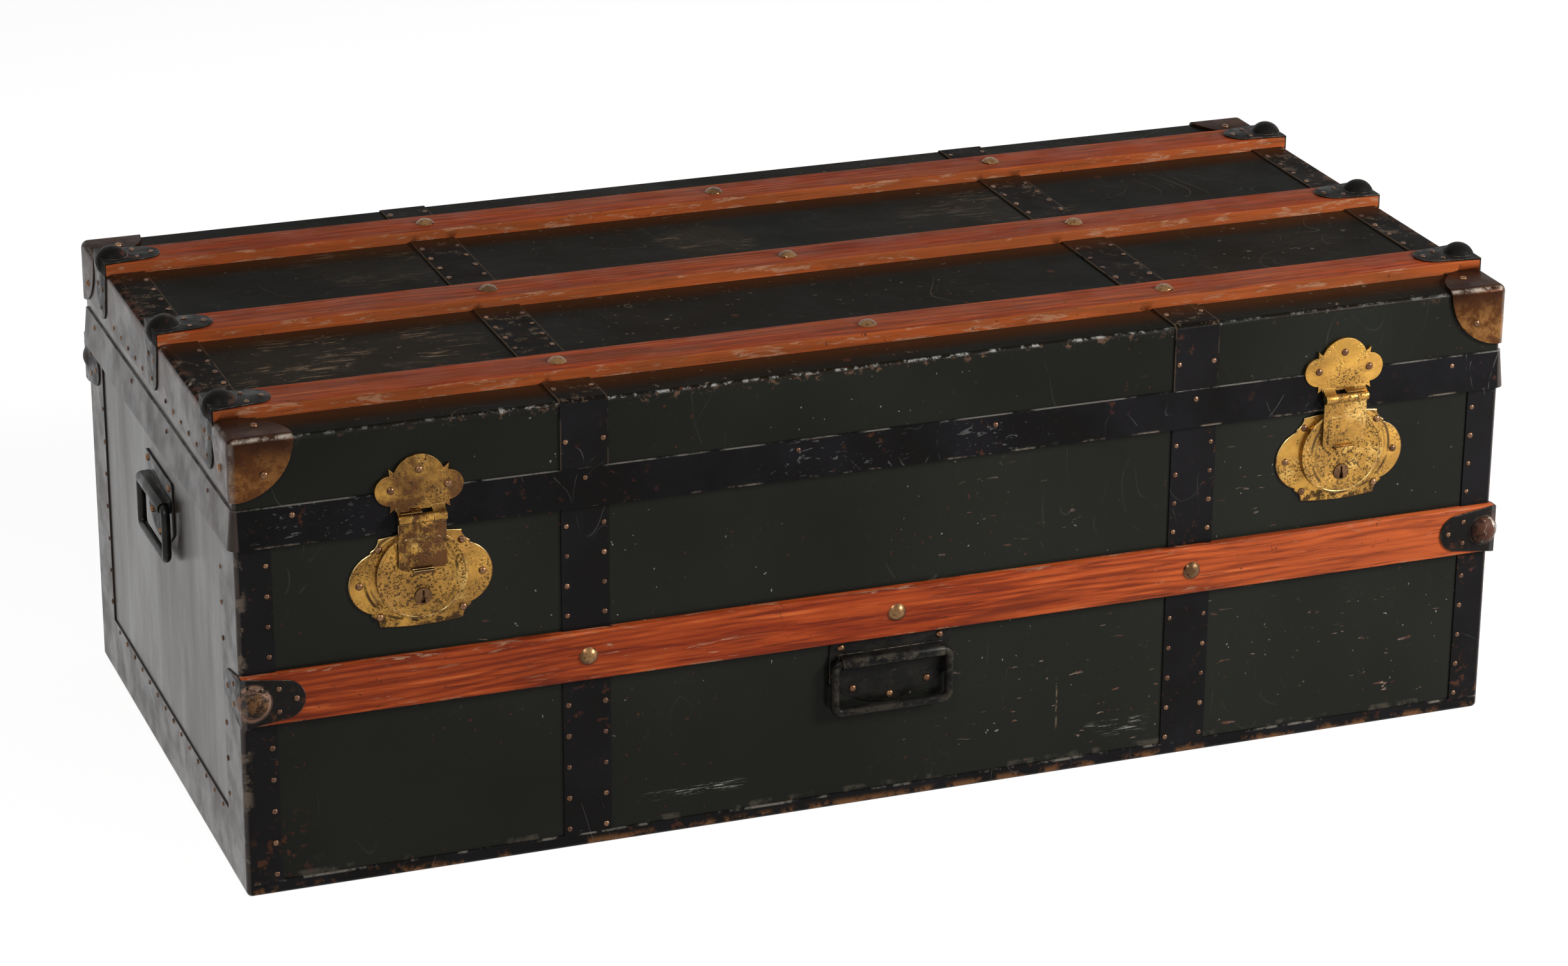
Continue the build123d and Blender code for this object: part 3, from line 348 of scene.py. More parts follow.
def frontSheetMarks(f, colour):
    # scrapes low on the front, down to bare metal
    torn = f.streaks((48, 48, 800), 5.0, 0.7, 0.8, (0.0, 0.05, 0.0))
    for (x, z), length, height in frontMarks["scrapes"]:
        area = f.times(f.span(f.x, x - length, x + length, 0.008), f.span(f.z, z - height, z + height, 0.002))
        colour = f.blend(f.times(area, f.step(torn, 0.56, 0.60), 0.75), colour, sheet["bare"])
    for (x, z), width, height in frontMarks["gashes"]:
        wander = f.math("ADD", f.x, f.times(f.math("SUBTRACT", f.noise(40.0), 0.5), 0.006))
        area = f.span(wander, x - width, x + width, 0.0006)
        area = f.times(area, f.span(f.z, z - height, z + height, 0.004))
        colour = f.blend(f.times(area, f.step(f.noise(300.0), 0.4, 0.55), 0.55), colour, sheet["gash"])
    # short pink-brown chips, most of them low on the right
    low = f.times(f.span(f.x, 0.06, 0.46, 0.05), f.span(f.z, 0.012, 0.105, 0.02))
    chips = f.step(f.streaks((52, 52, 190), 3.0, 0.65, 0.5), 0.665, 0.70)
    chips = f.times(chips, f.most(low, f.times(f.step(f.noise(5.0, 1.0), 0.55, 0.65), 0.5)))
    chip = f.blend(f.step(f.noise(60.0), 0.45, 0.55), sheet["chip"], sheet["paleChip"])
    colour = f.blend(f.times(chips, 0.8), colour, chip)
    # rubbed and rusted along the foot
    foot = f.times(f.span(f.z, -0.01, 0.0155, 0.0012), f.step(f.noise(38.0, 4.0, 0.65), 0.48, 0.60))
    colour = f.blend(f.times(foot, 0.28), colour, sheet["footRub"])
    corner = f.times(f.step(f.z, 0.085, 0.02), f.span(f.x, -0.52, -0.455, 0.01))
    corner = f.times(corner, f.step(f.noise(90.0, 4.0, 0.7), 0.54, 0.64))
    return f.blend(f.times(corner, 0.8), colour, sheet["rust"])


def lidRimMarks(f, colour):
    # the fold along the front top edge is rubbed down to bare tin with a thin painted highlight line over it,
    # and one small dent has a painted highlight
    fold = f.edge(f.y, lidLow.y + 0.0010, f.z, lidHigh.z - 0.0010, 0.0020)
    along = f.noise(60.0, 5.0, 0.75, 0.3)
    reach = f.span(f.x, -0.320, 0.200, 0.05)
    worn = f.times(fold, f.step(along, 0.49, 0.58), f.between(reach, 0.25, 0.75))
    colour = f.blend(worn, colour, sheet["fold"])
    under = f.edge(f.y, lidLow.y, f.z, lidHigh.z - 0.004, 0.0045)
    chips = f.times(under, f.step(f.noise(130.0, 4.0, 0.7), 0.58, 0.64), f.between(reach, 0.3, 1.0))
    colour = f.blend(f.times(chips, 0.8), colour, sheet["foldChip"])
    # painted highlight on a dent near the left of the fold
    dentHighlight = f.spot((-0.303, lidLow.y, lidHigh.z - 0.005), 0.009, 0.8)
    dentHighlight = f.times(dentHighlight, f.step(f.noise(110.0, 2.0, 0.5), 0.50, 0.58))
    colour = f.blend(f.times(dentHighlight, 0.8), colour, sheet["dentHighlight"])
    red = f.times(f.step(f.cells(30.0), 0.13, 0.07), f.step(f.noise(6.0), 0.50, 0.60))
    return f.blend(f.times(red, 0.5), colour, sheet["redSpot"])


def paintedSlatReflection(f, colour):
    # painted reflection of the warm slats on the glossy sheet beside them
    beside = f.besideSlat()
    near = f.step(beside, -lidSlat["half"] - 0.034, -lidSlat["half"] - 0.002)
    near = f.times(near, f.step(beside, -lidSlat["half"] + 0.004, -lidSlat["half"] - 0.002))
    behind = f.step(beside, lidSlat["half"] + 0.010, lidSlat["half"])
    behind = f.times(behind, f.step(beside, lidSlat["half"] - 0.004, lidSlat["half"]))
    return f.blend(f.times(f.most(near, f.times(behind, 0.6)), 0.75), colour, sheet["glow"])


def lidTopMarks(f, colour):
    # painted reflection of the slats on the top beside them
    colour = paintedSlatReflection(f, lidRimMarks(f, colour))
    # rubbed areas on the top with flaking paint
    areas = f.most(
        f.spot((-0.039, 0.076, lidHigh.z), 0.046),
        f.times(f.span(f.x, -0.462, -0.281, 0.03), f.span(f.y, -0.135, -0.048, 0.02)),
        f.times(f.spot((0.20, 0.055, lidHigh.z), 0.09), 0.35),
        f.times(f.spot((-0.30, 0.120, lidHigh.z), 0.08), 0.35),
    )
    flakes = f.step(f.streaks((42, 260, 75), 5.0, 0.7, 0.6), 0.53, 0.58)
    flakes = f.times(flakes, f.step(f.noise(22.0, 3.0), 0.42, 0.56))
    colour = f.blend(f.times(areas, 0.35), colour, sheet["rubbed"])
    colour = f.blend(f.times(areas, flakes, 0.85), colour, sheet["flake"])
    nicks = f.times(f.step(f.noise(140.0, 3.0, 0.7), 0.66, 0.70), f.step(f.noise(5.0, 2.0), 0.42, 0.58))
    colour = f.blend(f.times(nicks, 0.7), colour, sheet["nick"])
    arcs = f.step(f.apart(f.noise(8.0, 1.0, 0.4, 1.2), 0.5), 0.0022, 0.0)
    return f.blend(f.times(arcs, f.step(f.noise(9.0), 0.54, 0.62), 0.3), colour, sheet["arc"])


def endMarks(f, colour):
    stain = f.times(f.spot((endLow.x, 0.091, 0.146), 0.022, 0.9), f.step(f.noise(60.0, 4.0), 0.42, 0.55))
    colour = f.blend(f.times(stain, 0.7), colour, sheet["stain"])
    runs = f.step(f.streaks((90, 90, 8), 4.0, 0.6, 0.5), 0.62, 0.70)
    return f.blend(f.times(runs, 0.35), colour, sheet["run"])


band = {
    "black": (0.0046, 0.0043, 0.0042),
    "blue": (0.0068, 0.0064, 0.0074),
    "bare": (0.20, 0.20, 0.19),
    "rust": (0.060, 0.022, 0.012),
    "ochre": (0.115, 0.080, 0.052),
    "end": (0.026, 0.0165, 0.0122),
    "topEdgeWearAndHighlight": (0.13, 0.12, 0.105),
    "lowLine": (0.16, 0.13, 0.10),
    "scuff": (0.15, 0.15, 0.145),
    "footRust": (0.20, 0.088, 0.034),
    "footLine": (0.28, 0.25, 0.21),
    "cornerRust": (0.085, 0.032, 0.016),
    "cornerRub": (0.20, 0.15, 0.11),
    "foldRust": (0.095, 0.040, 0.024),
    "foldRub": (0.30, 0.25, 0.20),
}


def bandFinish(name, gloss, worn=0.4, marks=None, edges=()):
    f = Finish(name, Specular_Tint=(1.0, 0.92, 0.88, 1.0))
    colour = f.blend(f.step(f.noise(16.0, 4.0, 0.6), 0.35, 0.65), band["black"], band["blue"])
    # on the ends the enamel is browner in patches
    endsBrowner = f.times(f.facing(0.0, 1.0, 0.0), f.step(f.noise(20.0, 5.0, 0.65), 0.30, 0.60))
    colour = f.blend(endsBrowner, colour, band["end"])
    patches = f.step(f.noise(11.0, 2.0), 0.53, 0.66)
    scratches = f.most(scratchLines(f, 24.0, patches), scratchLines(f, 38.0, patches, 5.0))
    colour = f.blend(f.times(scratches, worn), colour, band["bare"])
    rust = f.times(f.step(f.noise(130.0, 4.0, 0.65), 0.60, 0.68), f.step(f.noise(13.0, 2.0), 0.46, 0.60))
    colour = f.blend(f.times(rust, 0.6), colour, band["rust"])
    # thin worn lines along the bands' long edges
    for middleX, half in edges:
        away = f.apart(f.apart(f.size(f.x), middleX), half)
        broken = f.step(f.noise(40.0, 3.0, 0.6), f.facing(0.44, 0.44, 0.30), f.facing(0.56, 0.56, 0.44))
        line = f.times(f.step(away, 0.0014, 0.0005), broken)
        colour = f.blend(f.times(line, f.facing(0.25, 0.0, 0.85)), colour, band["ochre"])
    if edges:
        onTop = f.facing(0.0, 0.0, 1.0)
        flakes = f.times(f.step(f.noise(85.0, 5.0, 0.75), 0.55, 0.60), f.step(f.noise(9.0, 2.0), 0.42, 0.56))
        colour = f.blend(f.times(onTop, flakes, 0.6), colour, band["ochre"])
        colour = f.blend(f.times(onTop, 0.5), colour, sheet["warm"])
        colour = f.blend(f.times(onTop, flakes, 0.45), colour, band["ochre"])
        # painted reflection of the slats on the bands beside them
        colour = paintedSlatReflection(f, colour)
    if marks:
        colour = marks(f, colour)
    rough = f.between(f.step(f.noise(30.0, 4.0, 0.6), 0.3, 0.7), 0.24, 0.42)
    normal = f.bump(f.noise(11.0, 2.0, 0.4), 0.006, 0.4)
    normal = f.bump(f.noise(70.0, 3.0, 0.6), 0.0008, 0.4, normal)
    return f.finish(colour, rough, None, normal, f.facing(*gloss))


def valanceMarks(f, colour):
    # a thin line along the top edge, worn and painted as the highlight on the band's upper ledge, and scuffs
    # where hands and straps rubbed
    # worn line and painted highlight along the valance's top edge
    top = f.span(f.z, valanceHigh.z - 0.0006, valanceHigh.z + 0.002, 0.0003)
    top = f.times(top, f.step(f.noise(26.0, 4.0, 0.7), 0.42, 0.56))
    colour = f.blend(f.times(top, 0.9), colour, band["topEdgeWearAndHighlight"])
    low = f.span(f.z, valanceLow.z - 0.002, valanceLow.z + 0.0012, 0.0006)
    low = f.times(low, f.step(f.noise(30.0, 5.0, 0.7), 0.50, 0.62))
    colour = f.blend(f.times(low, 0.6), colour, band["lowLine"])
    scuffs = f.streaks((110, 110, 260), 3.0, 0.6, 1.2, (0.2, 0.9, 0.3))
    where = f.most(
        f.spot((-0.05, front, 0.275), 0.07),
        f.spot((0.085, front, 0.290), 0.05),
        f.spot((-0.44, front, 0.285), 0.06),
    )
    return f.blend(f.times(f.step(scuffs, 0.62, 0.66), where, 0.35), colour, band["scuff"])


def footMarks(f, colour):
    # the bottom binding: rust and a rubbed, ochre lower edge
    rust = f.step(f.noise(44.0, 5.0, 0.7), 0.48, 0.60)
    low = f.step(f.z, 0.0085, 0.0005)
    colour = f.blend(f.times(rust, low, 0.85), colour, band["footRust"])
    top = f.times(f.span(f.z, 0.0096, 0.0118, 0.0005), f.step(f.noise(34.0, 5.0, 0.7), 0.50, 0.60))
    return f.blend(f.times(top, 0.4), colour, band["footLine"])


def cornerBandMarks(f, colour):
    low = f.times(f.step(f.z, 0.060, 0.012), f.step(f.noise(90.0, 5.0, 0.7), 0.54, 0.62))
    colour = f.blend(f.times(low, 0.6), colour, band["cornerRust"])
    fold = f.edge(f.x, bodyLow.x, f.y, front, 0.0075)
    worn = f.times(fold, f.step(f.noise(44.0, 5.0, 0.7), 0.50, 0.58))
    return f.blend(f.times(worn, 0.6), colour, band["cornerRub"])


def endBandMarks(f, colour):
    # rust and rubbed paint along the fold at both ends of the lid
    fold = f.edge(f.size(f.x), lidHigh.x, f.z, lidHigh.z, 0.011)
    worn = f.times(fold, f.step(f.noise(75.0, 5.0, 0.7), 0.46, 0.58))
    colour = f.blend(f.times(worn, 0.8), colour, band["foldRust"])
    return f.blend(f.times(fold, f.step(f.noise(120.0, 4.0, 0.7), 0.62, 0.68)), colour, band["foldRub"])


wood = {
    "dark": (0.060, 0.0100, 0.0045),
    "red": (0.165, 0.0190, 0.0045),
    "orange": (0.340, 0.0570, 0.0120),
    "light": (0.520, 0.1350, 0.0380),
    "pale": (0.330, 0.190, 0.115),
    "grey": (0.130, 0.058, 0.028),
    "dirt": (0.030, 0.012, 0.007),
    "flank": (0.230, 0.068, 0.020),
}


def woodFinish(name, middleZ, worn, grey, brightness, gloss):
    # middleZ is the height of a slat on the front or back, and None on the lid
    onLid = middleZ is None
    f = Finish(name)
    tones = {key: tuple(v * brightness for v in value) for key, value in wood.items()}
    if onLid:
        across = f.besideSlat()
        half = lidSlat["half"]
    else:
        across = f.math("SUBTRACT", f.z, middleZ)
        half = (slatHigh.z - slatLow.z) / 2
    # grain: long streaks of two sizes, with a faint figure of growth rings among them
    drift = f.streaks((2.6, 18, 18), 2.0, 0.5, 0.0)
    lines = f.math("ADD", f.times(across, 900.0), f.times(drift, 60.0))
    rings = f.math("ADD", f.times(f.math("SINE", lines), 0.5), 0.5)
    broad = f.streaks((9, 120, 120), 3.0, 0.6, 0.5)
    narrow = f.streaks((17, 430, 430), 3.0, 0.6, 0.3, (0, 0, 0), (4, 1, 2))
    fibre = f.streaks((30, 1300, 1300), 3.0, 0.65, 0.1)
    strength = f.step(f.streaks((4, 20, 20), 2.0, 0.5, 0.0), 0.36, 0.56)
    grain = f.math("ADD", f.times(broad, 0.62), f.times(narrow, 0.52))
    grain = f.math("ADD", grain, f.math("ADD", f.times(fibre, 0.22), f.times(rings, strength, 0.12)))
    colour = f.blend(f.step(grain, 0.54, 0.92), tones["red"], tones["orange"])
    if not onLid:  # painted light: lighter to the right, painted shade darker to the left
        colour = f.blend(f.times(f.step(f.x, 0.0, 0.5), 0.26), colour, tones["light"])
        colour = f.blend(f.times(f.step(f.x, 0.0, -0.5), 0.26), colour, tones["dark"])
    dark = f.most(
        f.step(narrow, 0.43, 0.34),
        f.times(f.step(broad, 0.42, 0.34), 0.8),
        f.times(f.step(rings, 0.30, 0.05), strength, 0.60),
    )
    colour = f.blend(f.times(dark, 0.52), colour, tones["dark"])
    light = f.times(f.step(grain, 0.80, 1.00), 0.60)
    colour = f.blend(light, colour, tones["light"])
    blotch = f.step(f.streaks((8, 40, 40), 4.0, 0.6, 0.3), 0.54, 0.70)
    colour = f.blend(f.times(blotch, 0.34), colour, tones["dark"])
    if grey:
        veil = f.step(f.streaks((8, 60, 60), 5.0, 0.65, 0.4), 0.34, 0.66)
        colour = f.blend(f.times(veil, grey), colour, tones["grey"])
    # scuffs through the varnish, pale chips along both edges with a painted highlight on their rounded rims,
    # and dirt in the pores
    scuff = f.streaks((30, 240, 240), 4.0, 0.7, 0.8, (0.06, 0.05, 0.04))
    scuffs = f.times(f.step(scuff, 0.62, 0.67), f.step(f.noise(8.0, 2.0), 0.46, 0.60))
    if onLid:
        flank = f.step(across, -half + 0.0012, -half + 0.0003)
        colour = f.blend(f.times(flank, 0.5), colour, wood["flank"])
    # pale chips and a painted highlight along both rounded edges
    rim = f.step(f.size(across), half - 0.0026, half - 0.0006)
    edgeChipsAndHighlight = f.times(rim, f.step(f.streaks((34, 190, 190), 5.0, 0.7, 0.4), 0.54, 0.62))
    colour = f.blend(f.times(f.most(scuffs, edgeChipsAndHighlight), worn), colour, wood["pale"])
    dirt = f.times(f.step(f.noise(210.0, 3.0, 0.6), 0.66, 0.71), f.step(f.noise(12.0), 0.45, 0.60))
    cracks = f.step(f.streaks((12, 1000, 1000), 2.0, 0.5, 0.3), 0.70, 0.73)
    colour = f.blend(f.times(f.most(dirt, cracks), 0.75), colour, wood["dirt"])
    rough = f.between(f.step(f.noise(40.0, 4.0, 0.6), 0.3, 0.7), 0.30, 0.50)
    relief = f.math("SUBTRACT", f.times(grain, 0.5), f.times(f.most(cracks, scuffs, edgeChipsAndHighlight), 0.8))
    return f.finish(colour, rough, None, f.bump(relief, 0.0005, 0.5), gloss)


brass = {
    "gold": (0.450, 0.240, 0.050),
    "pale": (0.700, 0.450, 0.140),
    "brown": (0.080, 0.036, 0.014),
    "pit": (0.024, 0.013, 0.007),
    "edgeDirtAndShade": (0.100, 0.046, 0.017),
    "edgeHighlight": (0.72, 0.52, 0.22),
}


def brassFinish(name, speckle, brown, leftBrown, ringed=False):
    f = Finish(name, Specular_IOR_Level=0.08)
    patina = f.step(f.noise(30.0, 5.0, 0.65), 0.36, 0.66)
    colour = f.blend(f.times(patina, 0.45), brass["gold"], brass["brown"])
    shine = f.step(f.noise(44.0, 3.0, 0.6), 0.55, 0.72)
    colour = f.blend(f.times(shine, 0.55), colour, brass["pale"])
    # the fittings on the left are browner than those on the right
    onLeft = f.step(f.x, 0.1, -0.1)
    browned = f.times(f.step(f.noise(26.0, 5.0, 0.7), 0.28, 0.66), f.between(onLeft, brown, leftBrown))
    colour = f.blend(browned, colour, brass["brown"])
    crowd = f.step(f.noise(34.0, 4.0, 0.6), 0.60 - 0.36 * speckle, 0.74 - 0.26 * speckle)
    specks = f.times(f.step(f.noise(560.0, 2.0, 0.6), 0.53, 0.59), crowd)
    dots = f.times(f.step(f.cells(760.0), 0.34, 0.22), crowd)
    blots = f.times(f.step(f.noise(230.0, 3.0, 0.65), 0.62, 0.68), f.step(f.noise(30.0, 3.0), 0.46, 0.60))
    pits = f.most(f.times(specks, 0.8), f.times(dots, 0.55), f.times(blots, 0.9))
    if ringed:
        # old polish and dirt around the cover's rim, with painted shade in its groove and along its edge, and
        # darker towards the bottom of the cover
        groove = f.ring(lockX, lockZ, lockRadius - 0.0035, 0.0012)
        rim = f.most(f.ring(lockX, lockZ, lockRadius, 0.0016), f.times(groove, 0.5))
        pits = f.most(pits, f.times(rim, f.step(f.noise(60.0, 4.0), 0.34, 0.52), 0.85))
        foot = f.step(f.z, lockLow.z + 0.010, lockLow.z)
        foot = f.times(foot, f.step(f.noise(110.0, 4.0, 0.7), 0.46, 0.56))
        pits = f.most(pits, f.times(foot, 0.9))
    colour = f.blend(pits, colour, brass["pit"])
    rough = f.math("ADD", f.between(patina, 0.24, 0.40), f.times(pits, 0.30))
    metal = f.math("SUBTRACT", 1.0, f.times(pits, 0.85))
    relief = f.math("SUBTRACT", f.times(f.noise(90.0, 3.0, 0.5), 0.6), pits)
    return f.finish(colour, rough, metal, f.bump(relief, 0.0003, 0.6))


def brassEdgeFinish(name):
    # rolled edges: a painted highlight where they face up and to the left, broken up like wear, and brown
    # dirt with painted shade where they face down
    f = Finish(name, Specular_IOR_Level=0.1)
    axes = f.add("ShaderNodeSeparateXYZ", {0: f.add("ShaderNodeNewGeometry").outputs["Normal"]})
    tilt = f.math("SUBTRACT", axes.outputs["Z"], f.times(axes.outputs["X"], 0.4))
    # painted light: edges facing up and left are lit, the rest shaded
    upward = f.step(tilt, -0.05, 0.70)
    worn = f.times(upward, f.step(f.noise(70.0, 4.0, 0.7), 0.36, 0.56))
    colour = f.blend(worn, brass["edgeDirtAndShade"], brass["edgeHighlight"])
    rough = f.between(worn, 0.5, 0.25)
    return f.finish(colour, rough, f.between(worn, 0.4, 1.0), f.bump(f.noise(300.0, 3.0), 0.0002, 0.4))


iron = {
    "black": (0.0056, 0.0050, 0.0044),
    "rust": (0.060, 0.023, 0.013),
    "bright": (0.40, 0.37, 0.32),
    "lip": (0.230, 0.130, 0.090),
    "brown": (0.120, 0.060, 0.026),
    "bore": (0.018, 0.010, 0.007),
}


def ironFinish(name):
    f = Finish(name)
    colour = f.blend(f.step(f.noise(55.0, 5.0, 0.7), 0.56, 0.68), iron["black"], iron["rust"])
    # two domes on the front are rusted, and the left one is worn right through to the wood
    left = (slatLow.x + 0.007, slatLow.y - 0.010, frontSlatZ)
    right = (slatHigh.x - 0.007, slatLow.y - 0.010, frontSlatZ)
    lip = f.times(f.spot(left, 0.0180, 0.15), f.step(f.noise(150.0, 4.0, 0.7), 0.34, 0.48))
    core = f.spot(left, 0.0120, 0.12)
    bore = f.blend(f.step(f.noise(190.0, 4.0, 0.7), 0.42, 0.58), iron["bore"], iron["brown"])
    other = f.times(f.spot(right, 0.0165, 0.3), f.step(f.noise(75.0, 4.0, 0.7), 0.40, 0.55))
    colour = f.blend(f.times(other, 0.9), colour, iron["rust"])
    colour = f.blend(f.times(lip, 0.8), colour, iron["lip"])
    colour = f.blend(core, colour, bore)
    flakes = f.times(f.step(f.noise(170.0, 4.0, 0.7), 0.66, 0.72), f.step(f.noise(30.0), 0.45, 0.6))
    crack = f.step(f.streaks((210, 210, 40), 3.0, 0.7, 0.6), 0.60, 0.66)
    crack = f.times(f.spot(right, 0.016, 0.2), crack)
    metal = f.most(f.times(flakes, 0.4), f.times(crack, 0.9))
    colour = f.blend(metal, colour, iron["bright"])
    rough = f.between(f.step(f.noise(80.0, 4.0, 0.6), 0.3, 0.7), 0.30, 0.60)
    hollow = f.times(core, -0.6)
    normal = f.bump(f.math("ADD", f.noise(160.0, 5.0, 0.65), hollow), 0.0009, 0.7)
    return f.finish(colour, rough, f.times(metal, 0.9), normal, f.facing(0.06, 0.32, 0.04))


def wornEdge(name, base, bright, metal, amount, gloss=0.12):
    # the bevelled edges of a fitting: its own colour, rubbed bright in places
    f = Finish(name, Specular_IOR_Level=gloss)
    worn = f.times(f.step(f.noise(95.0, 5.0, 0.7), 0.46, 0.60), amount)
    colour = f.blend(worn, base, bright)
    rough = f.between(worn, 0.5, 0.32)
    return f.finish(colour, rough, f.times(worn, metal), f.bump(f.noise(300.0, 3.0), 0.0002, 0.4))


cap = {
    "brown": (0.036, 0.0125, 0.0050),
    "bronze": (0.075, 0.0270, 0.0085),
    "gold": (0.190, 0.085, 0.024),
    "purple": (0.018, 0.0070, 0.0040),
    "bright": (0.45, 0.38, 0.31),
    "pit": (0.014, 0.008, 0.006),
    "stand": 0.0012,
}


def capFinish(name):
    f = Finish(name)
    colour = f.blend(f.step(f.noise(36.0, 4.0, 0.6), 0.36, 0.62), cap["purple"], cap["brown"])
    # the front faces are more golden, most of all towards the rounded rim
    onFront = f.step(f.size(f.y), lidHigh.y - 0.002, lidHigh.y)
    drop = f.times(onFront, f.step(f.z, lidHigh.z - 0.002, lidHigh.z - 0.030))
    colour = f.blend(f.times(drop, 0.9), colour, cap["bronze"])
    gold = f.times(drop, f.step(f.noise(95.0, 5.0, 0.7), 0.42, 0.62))
    colour = f.blend(f.times(gold, f.between(f.step(f.x, -0.2, 0.2), 0.55, 0.90)), colour, cap["gold"])
    across, along = f.size(f.x), f.size(f.y)
    capX, capY, capZ = (value + cap["stand"] for value in (lidHigh.x, lidHigh.y, lidHigh.z))
    folds = f.most(
        f.edge(along, capY, f.z, capZ, 0.0030),
        f.times(f.edge(across, capX, f.z, capZ, 0.0030), 0.5),
        f.times(f.edge(across, lidHigh.x + 0.001, along, lidHigh.y + 0.001, 0.0032), 0.4),
    )
    rubbed = f.times(folds, f.step(f.noise(60.0, 5.0, 0.7), 0.42, 0.58))
    colour = f.blend(f.times(rubbed, 0.75), colour, cap["bright"])
    pits = f.times(f.step(f.noise(330.0, 3.0, 0.6), 0.60, 0.66), f.step(f.noise(40.0, 3.0), 0.36, 0.55), 0.85)
    colour = f.blend(pits, colour, cap["pit"])
    rough = f.between(f.step(f.noise(70.0, 4.0, 0.6), 0.3, 0.7), 0.28, 0.48)
    metal = f.times(f.facing(0.85, 0.35, 0.15), f.math("SUBTRACT", 1.0, pits))
    normal = f.bump(f.noise(45.0, 4.0, 0.6), 0.0012, 0.5)
    return f.finish(colour, rough, metal, normal, f.facing(0.1, 0.4, 0.02))


def headFinish(name, dark, light, metal=0.85):
    f = Finish(name, Metallic=metal)
    colour = f.blend(f.step(f.noise(34.0, 2.0, 0.5), 0.40, 0.62), dark, light)
    grime = f.step(f.noise(500.0, 3.0, 0.6), 0.54, 0.64)
    colour = f.blend(f.times(grime, 0.7), colour, tuple(v * 0.25 for v in dark))
    rough = f.between(grime, 0.30, 0.55)
    return f.finish(colour, rough, None, f.bump(f.noise(600.0, 3.0, 0.6), 0.0002, 0.5))


handle = {
    "black": (0.0036, 0.0034, 0.0033),
    "soft": (0.0064, 0.0060, 0.0056),
    "olive": (0.054, 0.044, 0.031),
    "bright": (0.20, 0.17, 0.14),
}


def handleFinish(name):
    f = Finish(name)
    colour = f.blend(f.step(f.noise(48.0, 4.0, 0.6), 0.35, 0.65), handle["black"], handle["soft"])
    # the folded channel over the bail and the bail's inner edge are rubbed to an olive brown
    stand = f.step(f.y, front - 0.0085, front - 0.0115)
    worn = f.step(f.streaks((60, 90, 90), 5.0, 0.7, 0.3), 0.44, 0.58)
    worn = f.times(worn, f.between(stand, 0.15, 1.0))
    colour = f.blend(f.times(worn, 0.8), colour, handle["olive"])
    nicks = f.step(f.noise(260.0, 4.0, 0.7), 0.66, 0.71)
    colour = f.blend(f.times(nicks, 0.5), colour, handle["bright"])
    rough = f.between(f.step(f.noise(90.0, 4.0, 0.6), 0.3, 0.7), 0.22, 0.42)
    normal = f.bump(f.noise(230.0, 4.0, 0.6), 0.0004, 0.5)
    return f.finish(colour, rough, None, normal, f.facing(0.06, 0.16, 0.06))


steel = {
    "dull": (0.30, 0.28, 0.25),
    "clean": (0.46, 0.44, 0.41),
    "rust": (0.12, 0.050, 0.022),
}


def steelFinish(name):
    f = Finish(name)
    streaks = f.streaks((60, 900, 900), 3.0, 0.6, 0.0)
    colour = f.blend(f.step(streaks, 0.35, 0.65), steel["dull"], steel["clean"])
    rust = f.step(f.noise(110.0, 5.0, 0.7), 0.58, 0.70)
    colour = f.blend(f.times(rust, 0.7), colour, steel["rust"])
    metal = f.math("SUBTRACT", 1.0, f.times(rust, 0.8))
    return f.finish(colour, f.between(rust, 0.32, 0.70), metal, f.bump(streaks, 0.0002, 0.3))


pine = {
    "early": (0.36, 0.20, 0.085),
    "late": (0.60, 0.41, 0.22),
    "fibre": (0.28, 0.15, 0.07),
}


def pineFinish(name):
    f = Finish(name, Specular_IOR_Level=0.25)
    drift = f.streaks((2.5, 12, 12), 3.0, 0.5, 0.3)
    rings = f.math("SINE", f.times(drift, 90.0))
    colour = f.blend(f.step(rings, -0.6, 1.0), pine["early"], pine["late"])
    fibre = f.streaks((12, 600, 600), 3.0, 0.6, 0.0)
    colour = f.blend(f.times(f.step(fibre, 0.5, 0.8), 0.4), colour, pine["fibre"])
    return f.finish(colour, f.between(fibre, 0.55, 0.8), None, f.bump(fibre, 0.0003, 0.4))


paper = {
    "pale": (0.58, 0.49, 0.34),
    "aged": (0.40, 0.30, 0.18),
    "spot": (0.22, 0.12, 0.055),
    "fibre": (0.30, 0.23, 0.14),
}


def paperFinish(name):
    f = Finish(name, Specular_IOR_Level=0.15)
    aged = f.step(f.noise(4.0, 5.0, 0.6), 0.35, 0.70)
    colour = f.blend(aged, paper["pale"], paper["aged"])
    spots = f.times(f.step(f.cells(45.0), 0.20, 0.08), f.step(f.noise(9.0, 2.0), 0.48, 0.60))
    colour = f.blend(f.times(spots, 0.6), colour, paper["spot"])
    fibres = f.noise(420.0, 4.0, 0.7)
    colour = f.blend(f.times(f.step(fibres, 0.55, 0.75), 0.25), colour, paper["fibre"])
    return f.finish(colour, f.between(fibres, 0.75, 0.92), None, f.bump(fibres, 0.0003, 0.4))


